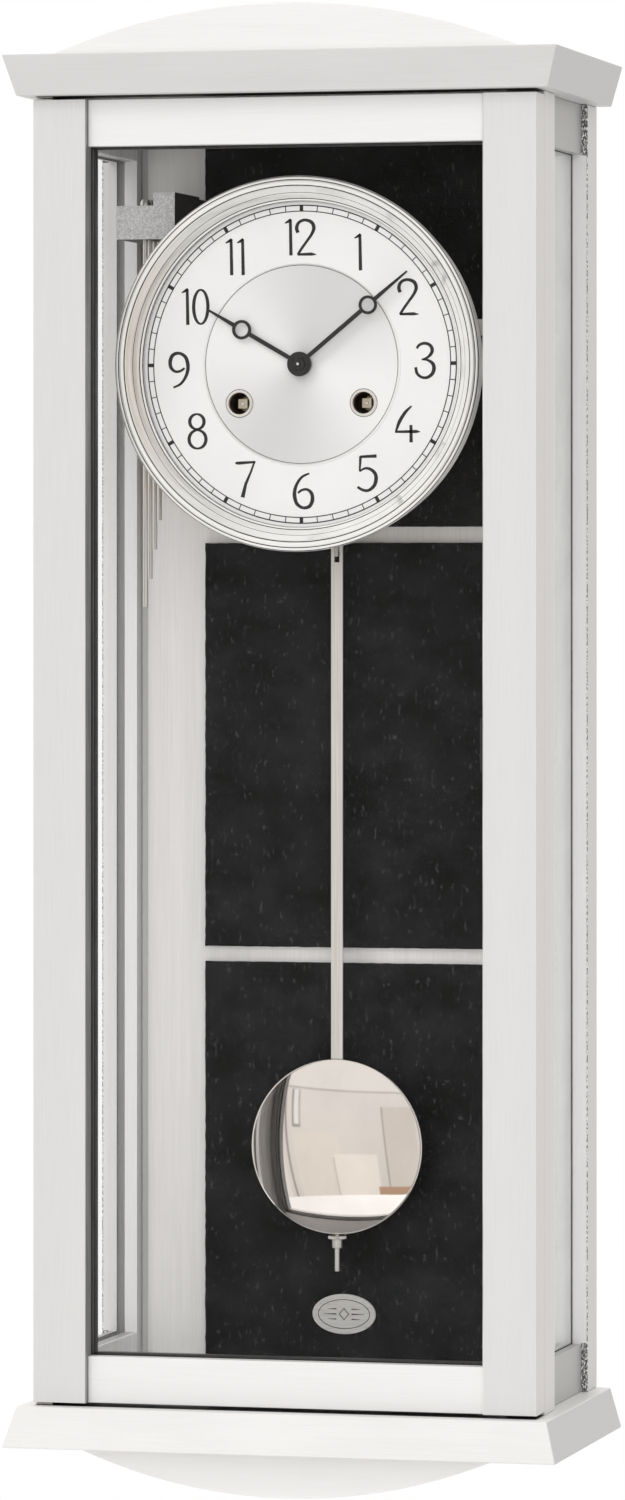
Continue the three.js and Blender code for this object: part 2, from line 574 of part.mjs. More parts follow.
// The anchor that lets the escape wheel pass, with the crutch that follows the pendulum.
function buildVerge(group) {
  const arborSpan = [PLATE.front + PLATE.thickness + END_SHAKE, VERGE.back];
  const arbor = rodAlongY(VERGE.arborRadius, 0, SUSPENSION_Z, arborSpan, 12);
  const anchor = frontPlate(polygon(ANCHOR_OUTLINE), VERGE.anchorSpan);
  const whole = join(arbor, anchor, blockOf(CRUTCH.strip), blockOf(CRUTCH.foot));
  addPart(group, 'verge', cut(whole, blockOf(CRUTCH.fork)), FINISH.steel);
}

function buildSuspensionCock(group) {
  const [base, ...others] = Object.values(COCK).map(blockOf);
  addPart(group, 'suspension_cock', join(base, ...others), FINISH.brass);
}

// One arm with its head for each plane, all on one arbor.
function buildStrikeHammer(group) {
  const { pivotX, pivotZ, headX, headZ, headRadius, headSpan, armHalfThickness } = HAMMER;
  const armOutline = polygon([
    [pivotX - 1, pivotZ - 2.5], [pivotX + 2.5, pivotZ], [pivotX, pivotZ + 2.5],
    [headX + 1, headZ + 2], [headX, headZ - 2],
  ]);
  const pieces = HAMMER.planes.flatMap((y) => [
    frontPlate(armOutline, [y - armHalfThickness, y + armHalfThickness]),
    rodAlongX(headRadius, y, headZ, headSpan, 20),
  ]);
  const arborSpan = [PLATE.front + PLATE.thickness + END_SHAKE, PLATE.rear - END_SHAKE];
  const arbor = rodAlongY(HAMMER.arborRadius, pivotX, pivotZ, arborSpan, 16);
  addPart(group, 'strike_hammer', join(arbor, ...pieces), FINISH.steel);
}

function buildGong(group) {
  const { left, step, right, bottom, shoulder, top, front, back } = GONG;
  const section = polygon([
    [left, bottom], [right, bottom], [right, top], [step, top], [step, shoulder], [left, shoulder],
  ]);
  const footBack = -BACK_BOARD_THICKNESS - BACK_FACING.thickness - 2 * SEAM;
  const foot = block(GONG_FOOT.x, [GONG_FOOT.front, footBack], GONG_FOOT.z);
  const boreSpan = [bottom - 1, shoulder + 1];
  const bores = GONG_ROD.ys.map((y) => rodAlongZ(GONG_ROD.bore, GONG_ROD.x, y, boreSpan, 16));
  addPart(group, 'gong_block', cut(join(frontPlate(section, [front, back]), foot), ...bores), FINISH.cast);

  const headBottom = shoulder + SEAM;
  const head = GONG_ROD_HEAD.map(([radius, height]) => [radius, headBottom + height]);
  GONG_ROD.ys.forEach((y, i) => {
    const end = GONG_ROD.ends[i];
    const rod = turned([[0, end], [GONG_ROD.radius, end], [GONG_ROD.radius, headBottom], ...head], 12);
    rod.rotateX(Math.PI / 2);
    addPart(group, `gong_rod_${i + 1}`, rod.translate(GONG_ROD.x, y, 0), FINISH.steel);
  });
}

// A block on the pendulum's middle plane; the spans in Y count from that plane.
function pendulumBlock(halfWidth, [y0, y1], z) {
  return block([-halfWidth, halfWidth], [PENDULUM_Y + y0, PENDULUM_Y + y1], z);
}

function bothWays(half) {
  return [-half, half];
}

// The spring and hook that hang from the cock; the rod hangs in the hook.
function buildPendulumLeader(group) {
  const spring = pendulumBlock(SPRING.halfWidth, bothWays(SPRING.halfThickness), SPRING.z);
  const ferruleY = bothWays(SPRING_FERRULE.halfThickness);
  const ferrule = pendulumBlock(SPRING_FERRULE.halfWidth, ferruleY, SPRING_FERRULE.z);
  const wire = rodAlongZ(LEADER_WIRE.radius, 0, PENDULUM_Y, LEADER_WIRE.z, 12);
  const hook = [HOOK.bridge, HOOK.tongue, HOOK.toe].map(({ y, z }) => pendulumBlock(HOOK.halfWidth, y, z));
  addPart(group, 'pendulum_leader', join(spring, ferrule, wire, ...hook), FINISH.steel);
}

function buildPendulumRod(group) {
  const flat = pendulumBlock(ROD.halfWidth, bothWays(ROD.halfThickness), [ROD.bottom, ROD.top]);
  const stud = rodAlongZ(STUD.radius, 0, PENDULUM_Y, [STUD.bottom, ROD.bottom + 1], 16);
  const hookSlot = pendulumBlock(HOOK_SLOT.halfWidth, bothWays(ROD.halfThickness + 1), HOOK_SLOT.z);
  addPart(group, 'pendulum_rod', cut(join(flat, stud), hookSlot), FINISH.steel);
}

// Half the thickness of the lens-shaped bob at a distance from its centre.
function bobHalfThickness(radius) {
  const bulge = BOB.halfThickness - BOB.rimHalfThickness;
  const sphere = (BOB.radius ** 2 + bulge ** 2) / (2 * bulge);
  return BOB.rimHalfThickness + Math.sqrt(sphere ** 2 - radius ** 2) - (sphere - bulge);
}

function buildBob(group) {
  const steps = 5;
  const front = [];
  for (let i = 0; i <= steps; i += 1) {
    const radius = (BOB.radius * i) / steps;
    front.push([radius, -bobHalfThickness(radius)]);
  }
  const back = front.map(([radius, y]) => [radius, -y]).reverse();
  const lens = turned([...front, ...back], 48).translate(0, PENDULUM_Y, BOB.z);
  const slotZ = [BOB.z - BOB.radius - 1, BOB.z + BOB.radius + 1];
  const slot = pendulumBlock(BOB_SLOT.halfWidth, bothWays(BOB_SLOT.halfDepth), slotZ);
  addPart(group, 'bob', cut(lens, slot), FINISH.chrome);
}

function buildRatingNut(group) {
  const { flangeRadius, collarRadius, top, step, bottom, bore } = NUT;
  const nut = turned([
    [bore, bottom], [collarRadius, bottom], [collarRadius, step], [flangeRadius, step], [flangeRadius, top],
    [bore, top], [bore, bottom],
  ], 24);
  nut.rotateX(Math.PI / 2);
  addPart(group, 'rating_nut', nut.translate(0, PENDULUM_Y, 0), FINISH.steel);
}

// The case and the door are laid out from the foot of the case, the rest from the dial's centre.
const clock = new THREE.Group();
const caseGroup = new THREE.Group();
const doorGroup = new THREE.Group();
const worksGroup = new THREE.Group();
const pendulumGroup = new THREE.Group();
caseGroup.position.z = -DIAL_HEIGHT;
doorGroup.position.z = -DIAL_HEIGHT;
clock.add(caseGroup, doorGroup, worksGroup, pendulumGroup);

buildMouldings(caseGroup);
buildCaseSide(caseGroup, -1);
buildCaseSide(caseGroup, 1);
buildBack(caseGroup);
buildMagnetCatch(caseGroup);
buildDoor(doorGroup);
buildPivotHinge(caseGroup, doorGroup, 'lower', DOOR.bottom, BASE_TOP, -1);
buildPivotHinge(caseGroup, doorGroup, 'upper', DOOR.top, CORNICE_BOTTOM, 1);
buildDial(worksGroup);
buildBezel(worksGroup);
buildHands(worksGroup);
buildMovementFrame(worksGroup);
buildTrain(worksGroup);
buildVerge(worksGroup);
buildSuspensionCock(worksGroup);
buildStrikeHammer(worksGroup);
buildGong(worksGroup);
buildPendulumLeader(pendulumGroup);
buildPendulumRod(pendulumGroup);
buildBob(pendulumGroup);
buildRatingNut(pendulumGroup);

export default clock;
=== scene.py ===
"""A pendulum wall clock in a glazed silver case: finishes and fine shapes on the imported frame.

The frame is in metres: X right, Y into the wall, Z up, origin on the wall behind the dial's centre.
Sizes below are in millimetres unless a comment says otherwise.
"""

import math
import random

import bpy
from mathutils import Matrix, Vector


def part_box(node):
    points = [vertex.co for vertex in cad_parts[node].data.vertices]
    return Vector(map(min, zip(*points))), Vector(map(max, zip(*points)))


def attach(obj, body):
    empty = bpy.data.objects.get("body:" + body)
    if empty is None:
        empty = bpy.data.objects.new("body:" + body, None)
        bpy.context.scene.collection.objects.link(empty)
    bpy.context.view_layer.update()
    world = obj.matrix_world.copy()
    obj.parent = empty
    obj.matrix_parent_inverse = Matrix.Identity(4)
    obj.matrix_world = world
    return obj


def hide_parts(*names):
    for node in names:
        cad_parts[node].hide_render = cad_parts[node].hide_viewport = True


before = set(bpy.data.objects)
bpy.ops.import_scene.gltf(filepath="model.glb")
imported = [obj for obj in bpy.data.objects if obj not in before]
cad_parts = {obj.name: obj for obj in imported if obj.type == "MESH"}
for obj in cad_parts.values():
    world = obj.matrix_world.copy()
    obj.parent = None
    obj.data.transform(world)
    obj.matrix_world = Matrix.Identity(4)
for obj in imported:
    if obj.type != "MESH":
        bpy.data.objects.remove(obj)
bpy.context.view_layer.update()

MM = 0.001
CASE_BOTTOM = -480.8

# Where the colour changes on one solid, in metres: heights beyond which the door's top and bottom
# faces are painted near black as shade in the gap, front of the left stile's rebate, behind which
# its inner faces are painted in shade, and depths and half width of the gap above and below the
# door, where the mouldings are painted dark as its shadow.
DOOR_ENDS = (-0.46145, 0.11725)
STILE_REBATE = -0.1300
DOOR_DEPTHS = (-0.1295, -0.1130)
DOOR_GAPS = (0.0030, 0.0018)
DOOR_GAP_REACH = 0.1140
# The same for the rear posts: their front face, painted paler as light, the distances from the
# middle at which the dark-flecked corner and the rough, dark-flecked strip start, and the heights
# beyond which a rail meets them.
REAR_POST_FRONT = -0.0198
REAR_POST_CORNER = 0.11345
REAR_POST_STRIP = 0.1110
RAIL_HEIGHTS = (-0.4408, 0.0957)
# The faced front of the back board, the ground face of the gong block, behind which its sides are
# painted in shade, and the bezel's funnel, which carries a painted warm reflection.
BOARD_FACE = -0.0115
BLOCK_FACE = -0.0726
FUNNEL = (0.0740, 0.0789)

# Dial, seen from the front: sizes from its centre.
DIAL_FRONT = -96.6
PRINT_HEIGHT = 0.12
TRACK_OUTER = 70.8
TRACK_INNER = 68.2
MINUTE_LINE = 0.38
HOUR_BAR = 1.6
CENTRE_RING = 45.0
WINDING_X = 28.5
WINDING_Z = -17.3
# How much heavier the strokes are than the half widths written with each digit.
STROKE_WEIGHT = 1.3

# Grooves turned into the bezel, each painted with a dark line of shade: radius and half width.
BEZEL_GROOVES = ((83.15, 0.18), (81.75, 0.24), (79.15, 0.28), (76.2, 0.11), (73.7, 0.24), (72.6, 0.14))

# Chamfer of the slate slabs.
SLATE_CHAMFER = 0.5

# Pendulum and escape wheel: depth of the pendulum, heights of the bob's and the wheel's middle.
PENDULUM_Y = -30.5
BOB_Z = -353.4
BOB_RADIUS = 40.0
ESCAPE_Z = 22

# What stands in the studio, as seen in reflections: turn from straight ahead, from and to, tilt, from
# and to, all in degrees, then its colour.
ROOM_PANELS = (
    (-60.0, -36.0, -40.0, 50.0, (0.80, 0.78, 0.75, 1)),
    (-34.2, -33.4, -24.0, 34.0, (0.30, 0.28, 0.26, 1)),
    (-60.0, 30.0, 17.5, 18.2, (0.50, 0.47, 0.44, 1)),
    (-60.0, 30.0, 18.2, 60.0, (0.84, 0.82, 0.79, 1)),
    (-31.0, -27.5, 3.0, 17.0, (0.34, 0.32, 0.30, 1)),
    (-30.2, -28.0, 4.0, 17.0, (0.86, 0.86, 0.85, 1)),
    (-31.0, -12.0, -24.0, 1.0, (0.80, 0.75, 0.69, 1)),
    (-15.0, 3.0, -26.0, -7.0, (0.88, 0.83, 0.77, 1)),
    (-15.2, -14.6, -25.0, -8.0, (0.60, 0.55, 0.50, 1)),
    (6.5, 7.2, -20.0, 12.0, (0.42, 0.38, 0.34, 1)),
    (7.2, 20.0, -20.0, 12.0, (0.70, 0.66, 0.61, 1)),
    (2.0, 24.0, -34.0, -20.0, (0.50, 0.34, 0.23, 1)),
)

# The camera: focal length and sensor width, shift, place in metres and turn about Z in degrees.
LENS = 169.93
SENSOR = 36
SHIFT = -0.1114
CAMERA_PLACE = (0.77588, -3.15220, -0.09735)
CAMERA_TURN = 14.158
# The studio floor, in metres.
FLOOR_HEIGHT = -1.3
FLOOR_RADIUS = 2.2

# Degrees in a radian, to the precision that the reflected room needs.
DEGREES = 57.3

# Centres of the numerals on the dial.
NUMERALS = {
    "12": (-0.5, 56.5), "1": (26.8, 49.5), "2": (49.0, 29.5), "3": (56.5, 1.2),
    "4": (48.5, -27.0), "5": (30.0, -48.7), "6": (1.0, -56.4), "7": (-25.8, -51.2),
    "8": (-48.0, -29.7), "9": (-56.5, -2.2), "10": (-49.0, 26.0), "11": (-30.5, 48.0),
}

# Each digit as strokes: points (x, z) from the digit's centre, then half widths along the stroke.
DIGITS = {
    "0": [("ellipse", (0, 0), (3.3, 7.6))],
    "1": [("line", [(0.0, 8.0), (0.3, -8.0)], (0.5, 0.58)),
          ("line", [(-2.5, 6.4), (-1.2, 7.0), (0.3, 8.1)], (0.18, 0.42, 0.4))],
    "2": [("curve", [(-3.8, 2.1), (-4.4, 4.3), (-3.3, 6.7), (-0.5, 7.7), (2.5, 6.6), (3.5, 4.1),
                     (2.4, 1.2), (0.0, -2.1), (-2.4, -5.4), (-3.8, -7.7)],
           (0.62, 0.62, 0.5, 0.5, 0.62, 0.62, 0.5, 0.45, 0.45, 0.45)),
          ("line", [(-4.0, -7.6), (2.4, -7.5), (4.6, -7.7)], (0.38, 0.55, 0.12))],
    "3": [("curve", [(-3.8, 5.4), (-2.5, 7.0), (-0.2, 7.7), (2.2, 6.9), (3.3, 4.9), (2.7, 2.9), (0.8, 1.2),
                     (-1.5, 0.5)],
           (0.4, 0.45, 0.5, 0.55, 0.62, 0.55, 0.4, 0.2)),
          ("curve", [(-1.5, 0.5), (1.2, 0.2), (3.5, -1.3), (4.1, -3.6), (3.2, -6.0), (0.9, -7.5),
                     (-1.6, -7.3), (-3.6, -5.6), (-4.2, -2.9)],
           (0.2, 0.4, 0.6, 0.66, 0.6, 0.5, 0.45, 0.5, 0.5))],
    "4": [("curve", [(1.9, 8.1), (-1.0, 5.3), (-3.6, 1.2), (-5.3, -3.3)], (0.25, 0.55, 0.6, 0.3)),
          ("line", [(-5.6, -3.3), (4.0, -3.2), (5.8, -3.3)], (0.38, 0.55, 0.12)),
          ("line", [(1.6, -0.3), (1.7, -8.0)], (0.5, 0.58))],
    "5": [("line", [(-3.0, 7.4), (4.4, 7.7)], (0.42, 0.58)),
          ("line", [(-2.9, 7.6), (-3.3, 0.9)], (0.5, 0.28)),
          ("curve", [(-3.3, 0.9), (-1.0, 2.2), (1.5, 1.9), (3.7, 0.0), (4.2, -2.6), (3.3, -5.5),
                     (0.8, -7.5), (-1.8, -7.4), (-4.3, -6.0)],
           (0.25, 0.4, 0.5, 0.6, 0.66, 0.6, 0.5, 0.48, 0.42))],
    "6": [("curve", [(2.6, 7.8), (-0.6, 6.3), (-2.8, 3.6), (-4.0, 0.5), (-4.1, -2.6), (-3.0, -5.8),
                     (-0.3, -7.5), (2.6, -6.9), (4.0, -4.3), (3.7, -1.2), (1.7, 0.6), (-0.7, 0.4),
                     (-2.6, -0.9)],
           (0.3, 0.42, 0.5, 0.6, 0.66, 0.6, 0.5, 0.6, 0.66, 0.6, 0.45, 0.42, 0.35))],
    "7": [("line", [(-4.6, 7.3), (-3.0, 7.3), (4.6, 7.8)], (0.35, 0.55, 0.35)),
          ("line", [(4.2, 7.9), (2.6, 3.5), (0.2, -2.0), (-1.3, -8.0)], (0.3, 0.35, 0.5, 0.7))],
    "8": [("ellipse", (-0.2, 4.4), (3.3, 3.35)),
          ("ellipse", (0.1, -3.5), (3.9, 4.1))],
}
DIGITS["9"] = [("curve", [(-x, -z) for x, z in DIGITS["6"][0][1]], DIGITS["6"][0][2])]
PAIR_OFFSETS = {"10": (-3.7, 2.6), "11": (-1.9, 3.4), "12": (-4.6, 2.7)}


# ---------------------------------------------------------------- finishes

class Nodes:
    """Short calls for wiring up one node tree."""

    def __init__(self, tree):
        self.tree = tree

    def node(self, kind, inputs=(), **settings):
        made = self.tree.nodes.new("ShaderNode" + kind)
        for name, value in settings.items():
            setattr(made, name, value)
        for socket, value in dict(inputs).items():
            self.feed(made.inputs[socket], value)
        return made

    def feed(self, socket, value):
        if isinstance(value, bpy.types.NodeSocket):
            self.tree.links.new(value, socket)
        else:
            socket.default_value = value

    def math(self, operation, first, second=0.0):
        return self.node("Math", {0: first, 1: second}, operation=operation).outputs[0]

    def plus(self, first, second):
        return self.math("ADD", first, second)

    def times(self, first, second):
        return self.math("MULTIPLY", first, second)

    def size(self, value):
        return self.math("ABSOLUTE", value)

    def above(self, value, limit):
        return self.math("GREATER_THAN", value, limit)

    def below(self, value, limit):
        return self.math("LESS_THAN", value, limit)

    def either(self, first, second):
        return self.math("MAXIMUM", first, second)

    def inside(self, value, low, high):
        return self.times(self.above(value, low), self.below(value, high))

    def outside(self, value, low, high):
        return self.either(self.below(value, low), self.above(value, high))

    def blend(self, first, share, second):
        """A share of the first value and the rest of the second."""
        return self.plus(self.times(first, share), self.times(second, 1 - share))

    def spread(self, value, low, high, to_low=0.0, to_high=1.0):
        inputs = {"Value": value, "From Min": low, "From Max": high, "To Min": to_low, "To Max": to_high}
        return self.node("MapRange", inputs).outputs["Result"]

    def mix(self, factor, first, second):
        return self.node("Mix", {0: factor, 6: first, 7: second}, data_type="RGBA").outputs[2]

    def shades(self, value, low, high, first, second):
        """The first colour where the value is low, turning into the second where it is high."""
        return self.mix(self.spread(value, low, high), first, second)


class Paint(Nodes):
    """One Principled material."""

    def __init__(self, name):
        self.material = bpy.data.materials.new(name)
        self.material.use_nodes = True
        super().__init__(self.material.node_tree)
        self.shader = self.tree.nodes["Principled BSDF"]

    def set(self, **values):
        for name, value in values.items():
            self.feed(self.shader.inputs[name.replace("_", " ")], value)
        return self

    def place(self):
        return self.node("TexCoord").outputs["Object"]

    def axis(self, letter):
        return self.node("SeparateXYZ", {"Vector": self.place()}).outputs[letter]

    def radius(self):
        """Distance from the line along Y through the origin."""
        x, z = self.axis("X"), self.axis("Z")
        return self.math("SQRT", self.plus(self.times(x, x), self.times(z, z)))

    def noise(self, scale, stretch=(1, 1, 1), detail=3.0, roughness=0.5):
        mapping = self.node("Mapping", {"Vector": self.place(), "Scale": stretch})
        inputs = {"Vector": mapping.outputs["Vector"], "Scale": scale, "Detail": detail}
        return self.node("TexNoise", {**inputs, "Roughness": roughness}).outputs["Fac"]

    def bump(self, height, strength, distance):
        inputs = {"Height": height, "Strength": strength, "Distance": distance}
        self.set(Normal=self.node("Bump", inputs).outputs["Normal"])
        return self


def tone(grey, warm=0.0):
    """A near-grey linear colour; warm above nought leans to yellow and below it to blue."""
    return (grey * (1 + warm), grey, grey * (1 - warm), 1.0)


def dimmed(colour, share):
    return tuple(channel * share for channel in colour[:3]) + (1,)


def grain_stretch(along):
    """Texture scales that draw noise out along one axis."""
    stretch = [1.0, 1.0, 1.0]
    stretch["XYZ".index(along)] = 0.012
    return stretch


def brushed_laminate(name, along, light, dark, inner=None, shade=None, lip=None, ends=None):
    """Fine silver laminate with grain along an axis. Inner is the distance from the middle of the
    clock below which faces are painted in the grey given by shade, as light and shade on the inner
    faces, lip the same behind the front, and ends the heights outside which they are painted near
    black as shade in the gap at the door, in metres."""
    paint = Paint(name)
    grain = paint.noise(2600, grain_stretch(along), detail=4.0, roughness=0.65)
    broad = paint.noise(60, grain_stretch(along), detail=2.0)
    mixed = paint.blend(grain, 0.75, broad)
    colour = paint.shades(mixed, 0.34, 0.66, tone(dark, 0.006), tone(light, 0.004))
    # Painted light and shade: faces near the middle of the clock take the grey given by shade.
    if inner is not None:
        across = paint.size(paint.axis("X"))
        painted_shade_inside = paint.below(across, inner)
        if lip is not None:
            behind = paint.above(paint.axis("Y"), STILE_REBATE)
            painted_shade_inside = paint.either(painted_shade_inside, paint.times(behind, paint.below(across, lip)))
        streak = paint.noise(1500, grain_stretch("Z"), detail=4.0, roughness=0.7)
        streaked_shade = paint.shades(streak, 0.35, 0.65, tone(shade * 0.5), tone(shade * 1.15))
        colour = paint.mix(painted_shade_inside, colour, streaked_shade)
    # Painted shade: the door's top and bottom faces are near black, as in the dark gap at the door.
    if ends is not None:
        colour = paint.mix(paint.outside(paint.axis("Z"), *ends), colour, tone(0.03))
    paint.set(Base_Color=colour, Roughness=paint.spread(grain, 0.3, 0.7, 0.34, 0.5))
    paint.set(Metallic=0.15, Specular_IOR_Level=0.5)
    return paint.bump(grain, 0.12, 0.0001).material


def rear_post_laminate():
    """Upright laminate with its front face painted paler as light, dark flecks along its outer front
    corner, and rough and dark-flecked where it meets the side rails.
    """
    paint = Paint("laminate_rear_post")
    grain = paint.noise(2600, grain_stretch("Z"), detail=4.0, roughness=0.65)
    plain = paint.shades(grain, 0.34, 0.66, tone(0.66), tone(0.71))
    # Painted light: the front face is paler than the sides.
    pale = paint.shades(grain, 0.34, 0.66, tone(0.88), tone(0.95))
    on_front = paint.below(paint.axis("Y"), REAR_POST_FRONT)
    across = paint.size(paint.axis("X"))
    crumbs = paint.noise(1400, (1, 1, 0.5), detail=4.0, roughness=0.7)
    corner = paint.times(on_front, paint.above(across, REAR_POST_CORNER))
    dark_corner_flecks = paint.times(corner, paint.above(crumbs, 0.5))
    by_rail = paint.outside(paint.axis("Z"), *RAIL_HEIGHTS)
    strip = paint.times(paint.times(on_front, by_rail), paint.above(across, REAR_POST_STRIP))
    rough = paint.times(strip, paint.above(crumbs, 0.47))
    colour = paint.mix(paint.either(dark_corner_flecks, rough), paint.mix(on_front, plain, pale), tone(0.10))
    paint.set(Base_Color=colour, Roughness=paint.spread(grain, 0.3, 0.7, 0.34, 0.5), Metallic=0.15)
    return paint.bump(paint.plus(grain, paint.times(rough, 2.0)), 0.12, 0.0001).material


def moulding_lacquer(name, dark, light):
    """Clouded lacquer with painted shade on its side faces, and painted shadow in the gap above or
    below the door.
    """
    paint = Paint(name)
    cloud = paint.noise(45, (0.3, 1, 1), detail=3.0)
    fine = paint.noise(2200, grain_stretch("X"), detail=2.0)
    mixed = paint.blend(cloud, 0.6, fine)
    colour = paint.shades(mixed, 0.35, 0.65, tone(dark, 0.01), tone(light, 0.008))
    # Painted shade: faces turned to the side are darker than the front.
    normal = paint.node("NewGeometry").outputs["Normal"]
    facing = paint.node("SeparateXYZ", {"Vector": normal}).outputs["X"]
    colour = paint.mix(paint.spread(paint.size(facing), 0.6, 0.9), colour, tone(0.62, -0.01))
    # Painted shadow in the gap above and below the door.
    heights = paint.inside(paint.axis("Z"), DOOR_ENDS[0] - DOOR_GAPS[0], DOOR_ENDS[1] + DOOR_GAPS[1])
    gap_shadow = paint.times(heights, paint.inside(paint.axis("Y"), *DOOR_DEPTHS))
    by_door = paint.below(paint.size(paint.axis("X")), DOOR_GAP_REACH)
    colour = paint.mix(paint.times(gap_shadow, by_door), colour, tone(0.03))
    paint.set(Base_Color=colour, Roughness=paint.spread(fine, 0.3, 0.7, 0.38, 0.48), Metallic=0.1)
    return paint.bump(fine, 0.06, 0.0001).material


def fibreboard():
    """Brown board, faced in grey on its front."""
    paint = Paint("fibreboard")
    fibre = paint.noise(900, (1, 1, 0.35), detail=5.0, roughness=0.7)
    dark = paint.mix(paint.noise(35), (0.20, 0.13, 0.075, 1), (0.26, 0.18, 0.11, 1))
    bare = paint.mix(fibre, dark, (0.34, 0.25, 0.16, 1))
    faced = paint.mix(fibre, tone(0.62), tone(0.72))
    in_front = paint.below(paint.axis("Y"), BOARD_FACE)
    paint.set(Base_Color=paint.mix(in_front, bare, faced), Roughness=0.8)
    return paint.bump(fibre, 0.25, 0.0003).material


def brushed_sheet():
    paint = Paint("brushed_aluminium")
    grain = paint.noise(2400, grain_stretch("Z"), detail=5.0, roughness=0.7)
    broad = paint.noise(120, grain_stretch("Z"), detail=2.0)
    mixed = paint.blend(grain, 0.7, broad)
    paint.set(Base_Color=paint.shades(mixed, 0.35, 0.65, tone(0.84, 0.012), tone(0.96, 0.012)))
    paint.set(Roughness=paint.spread(grain, 0.3, 0.7, 0.36, 0.52), Metallic=0.3)
    return paint.bump(grain, 0.15, 0.0001).material


def slate_stone():
    """Near-black cleft stone with grit and small paler flecks painted in as glints."""
    paint = Paint("slate")
    cleft = paint.noise(38, (1, 1, 1.3), detail=8.0, roughness=0.62)
    grit = paint.noise(1500, detail=4.0, roughness=0.7)
    mixed = paint.blend(cleft, 0.7, grit)
    colour = paint.shades(mixed, 0.36, 0.66, tone(0.0015, -0.05), tone(0.022, -0.05))
    # Pale flecks painted in as glints.
    glint_flecks = paint.noise(520, (1, 1, 0.5), detail=3.0, roughness=0.65)
    paint.set(Base_Color=paint.shades(glint_flecks, 0.60, 0.70, colour, tone(0.055, -0.03)))
    paint.set(Roughness=paint.spread(grit, 0.3, 0.7, 0.45, 0.66), Specular_IOR_Level=0.26)
    return paint.bump(mixed, 0.9, 0.0012).material


def window_glass(name, falloff, metallic):
    """Glass that is clear when looked through squarely, and turns into a pale, patchy surface at a
    grazing angle as a painted reflection. A greater falloff keeps it clear for longer."""
    paint = Paint(name)
    slant = paint.node("LayerWeight", {"Blend": 0.5}).outputs["Facing"]
    smear_and_sheen = paint.noise(30, detail=4.0)
    # Painted reflection: the glass turns pale and opaque towards a grazing angle.
    painted_reflection = paint.times(paint.math("POWER", slant, falloff), paint.spread(smear_and_sheen, 0.3, 0.7, 0.85, 1.0))
    paint.set(Base_Color=(0.96, 0.98, 0.97, 1), Metallic=metallic, Alpha=paint.plus(painted_reflection, 0.001))
    paint.set(Roughness=paint.spread(smear_and_sheen, 0.4, 0.7, 0.01, 0.03))
    return paint.material


def spun_dial():
    """Silver dial: lightly clouded outside the ring, spun inside it, with a painted bow-tie reflection
    that darkens its top and foot.
    """
    paint = Paint("dial_silver")
    radius = paint.radius()
    angle = paint.math("ARCTAN2", paint.axis("Z"), paint.axis("X"))
    # Painted reflection: a bow tie of light and dark across the spun middle.
    painted_bow_tie = paint.math("COSINE", paint.times(paint.plus(angle, 0.35), 2.0))
    rings = paint.node("TexNoise", {"Scale": 1.0, "Detail": 4.0, "Roughness": 0.8}, noise_dimensions="1D")
    paint.feed(rings.inputs["W"], paint.times(radius, 2600.0))
    lines = rings.outputs["Fac"]
    spun = paint.plus(paint.times(painted_bow_tie, 0.5), paint.times(lines, 0.35))
    middle = paint.shades(spun, -0.35, 0.7, tone(0.70, 0.004), tone(0.93, 0.003))
    outer = paint.blend(paint.noise(26, detail=2.0), 0.6, paint.noise(3000, detail=2.0))
    around = paint.shades(outer, 0.35, 0.65, tone(0.88, 0.0), tone(0.94, 0.003))
    paint.set(Base_Color=paint.mix(paint.below(radius, CENTRE_RING * MM), around, middle))
    paint.set(Roughness=paint.spread(lines, 0.3, 0.7, 0.4, 0.5), Metallic=0.2)
    return paint.bump(lines, 0.05, 0.00005).material


def polished_metal(name, colour, roughness=0.06, haze=0.05):
    paint = Paint(name)
    wipe = paint.noise(55, (1, 1, 0.6), detail=4.0)
    paint.set(Base_Color=paint.shades(wipe, 0.35, 0.65, dimmed(colour, 0.93), colour), Metallic=1.0)
    paint.set(Roughness=paint.spread(wipe, 0.35, 0.7, roughness, roughness + haze))
    return paint.material


def ridged_bezel():
    """Polished ring with painted dark lines of shade in the grooves between its ridges and a painted
    warm reflection on the left of its funnel.
    """
    paint = Paint("bezel_nickel")
    radius = paint.radius()
    wipe = paint.noise(55, (1, 1, 0.6), detail=4.0)
    colour = paint.shades(wipe, 0.35, 0.65, (0.96, 0.955, 0.93, 1), (1.0, 0.99, 0.97, 1))
    # Painted reflection: a warm tint on the left of the funnel.
    warm_reflection_left = paint.spread(paint.plus(paint.axis("X"), paint.times(wipe, 0.03)), -0.035, -0.075)
    funnel = paint.inside(radius, *FUNNEL)
    colour = paint.mix(paint.times(funnel, warm_reflection_left), colour, (1.0, 0.91, 0.82, 1))
    # Painted shade: a dark line in each groove.
    for groove, half_width in BEZEL_GROOVES:
        away = paint.size(paint.math("SUBTRACT", radius, groove * MM))
        colour = paint.shades(away, half_width * MM, half_width * 0.5 * MM, colour, tone(0.02))
    paint.set(Base_Color=colour, Metallic=0.4, Roughness=paint.spread(wipe, 0.35, 0.7, 0.08, 0.15))
    return paint.material


def drawn_metal(name, colour, along, roughness=0.26):
    paint = Paint(name)
    grain = paint.noise(1800, grain_stretch(along), detail=4.0, roughness=0.6)
    paint.set(Base_Color=paint.shades(grain, 0.35, 0.65, dimmed(colour, 0.82), colour), Metallic=1.0)
    paint.set(Roughness=paint.spread(grain, 0.3, 0.7, roughness, roughness + 0.12))
    return paint.bump(grain, 0.08, 0.0001).material


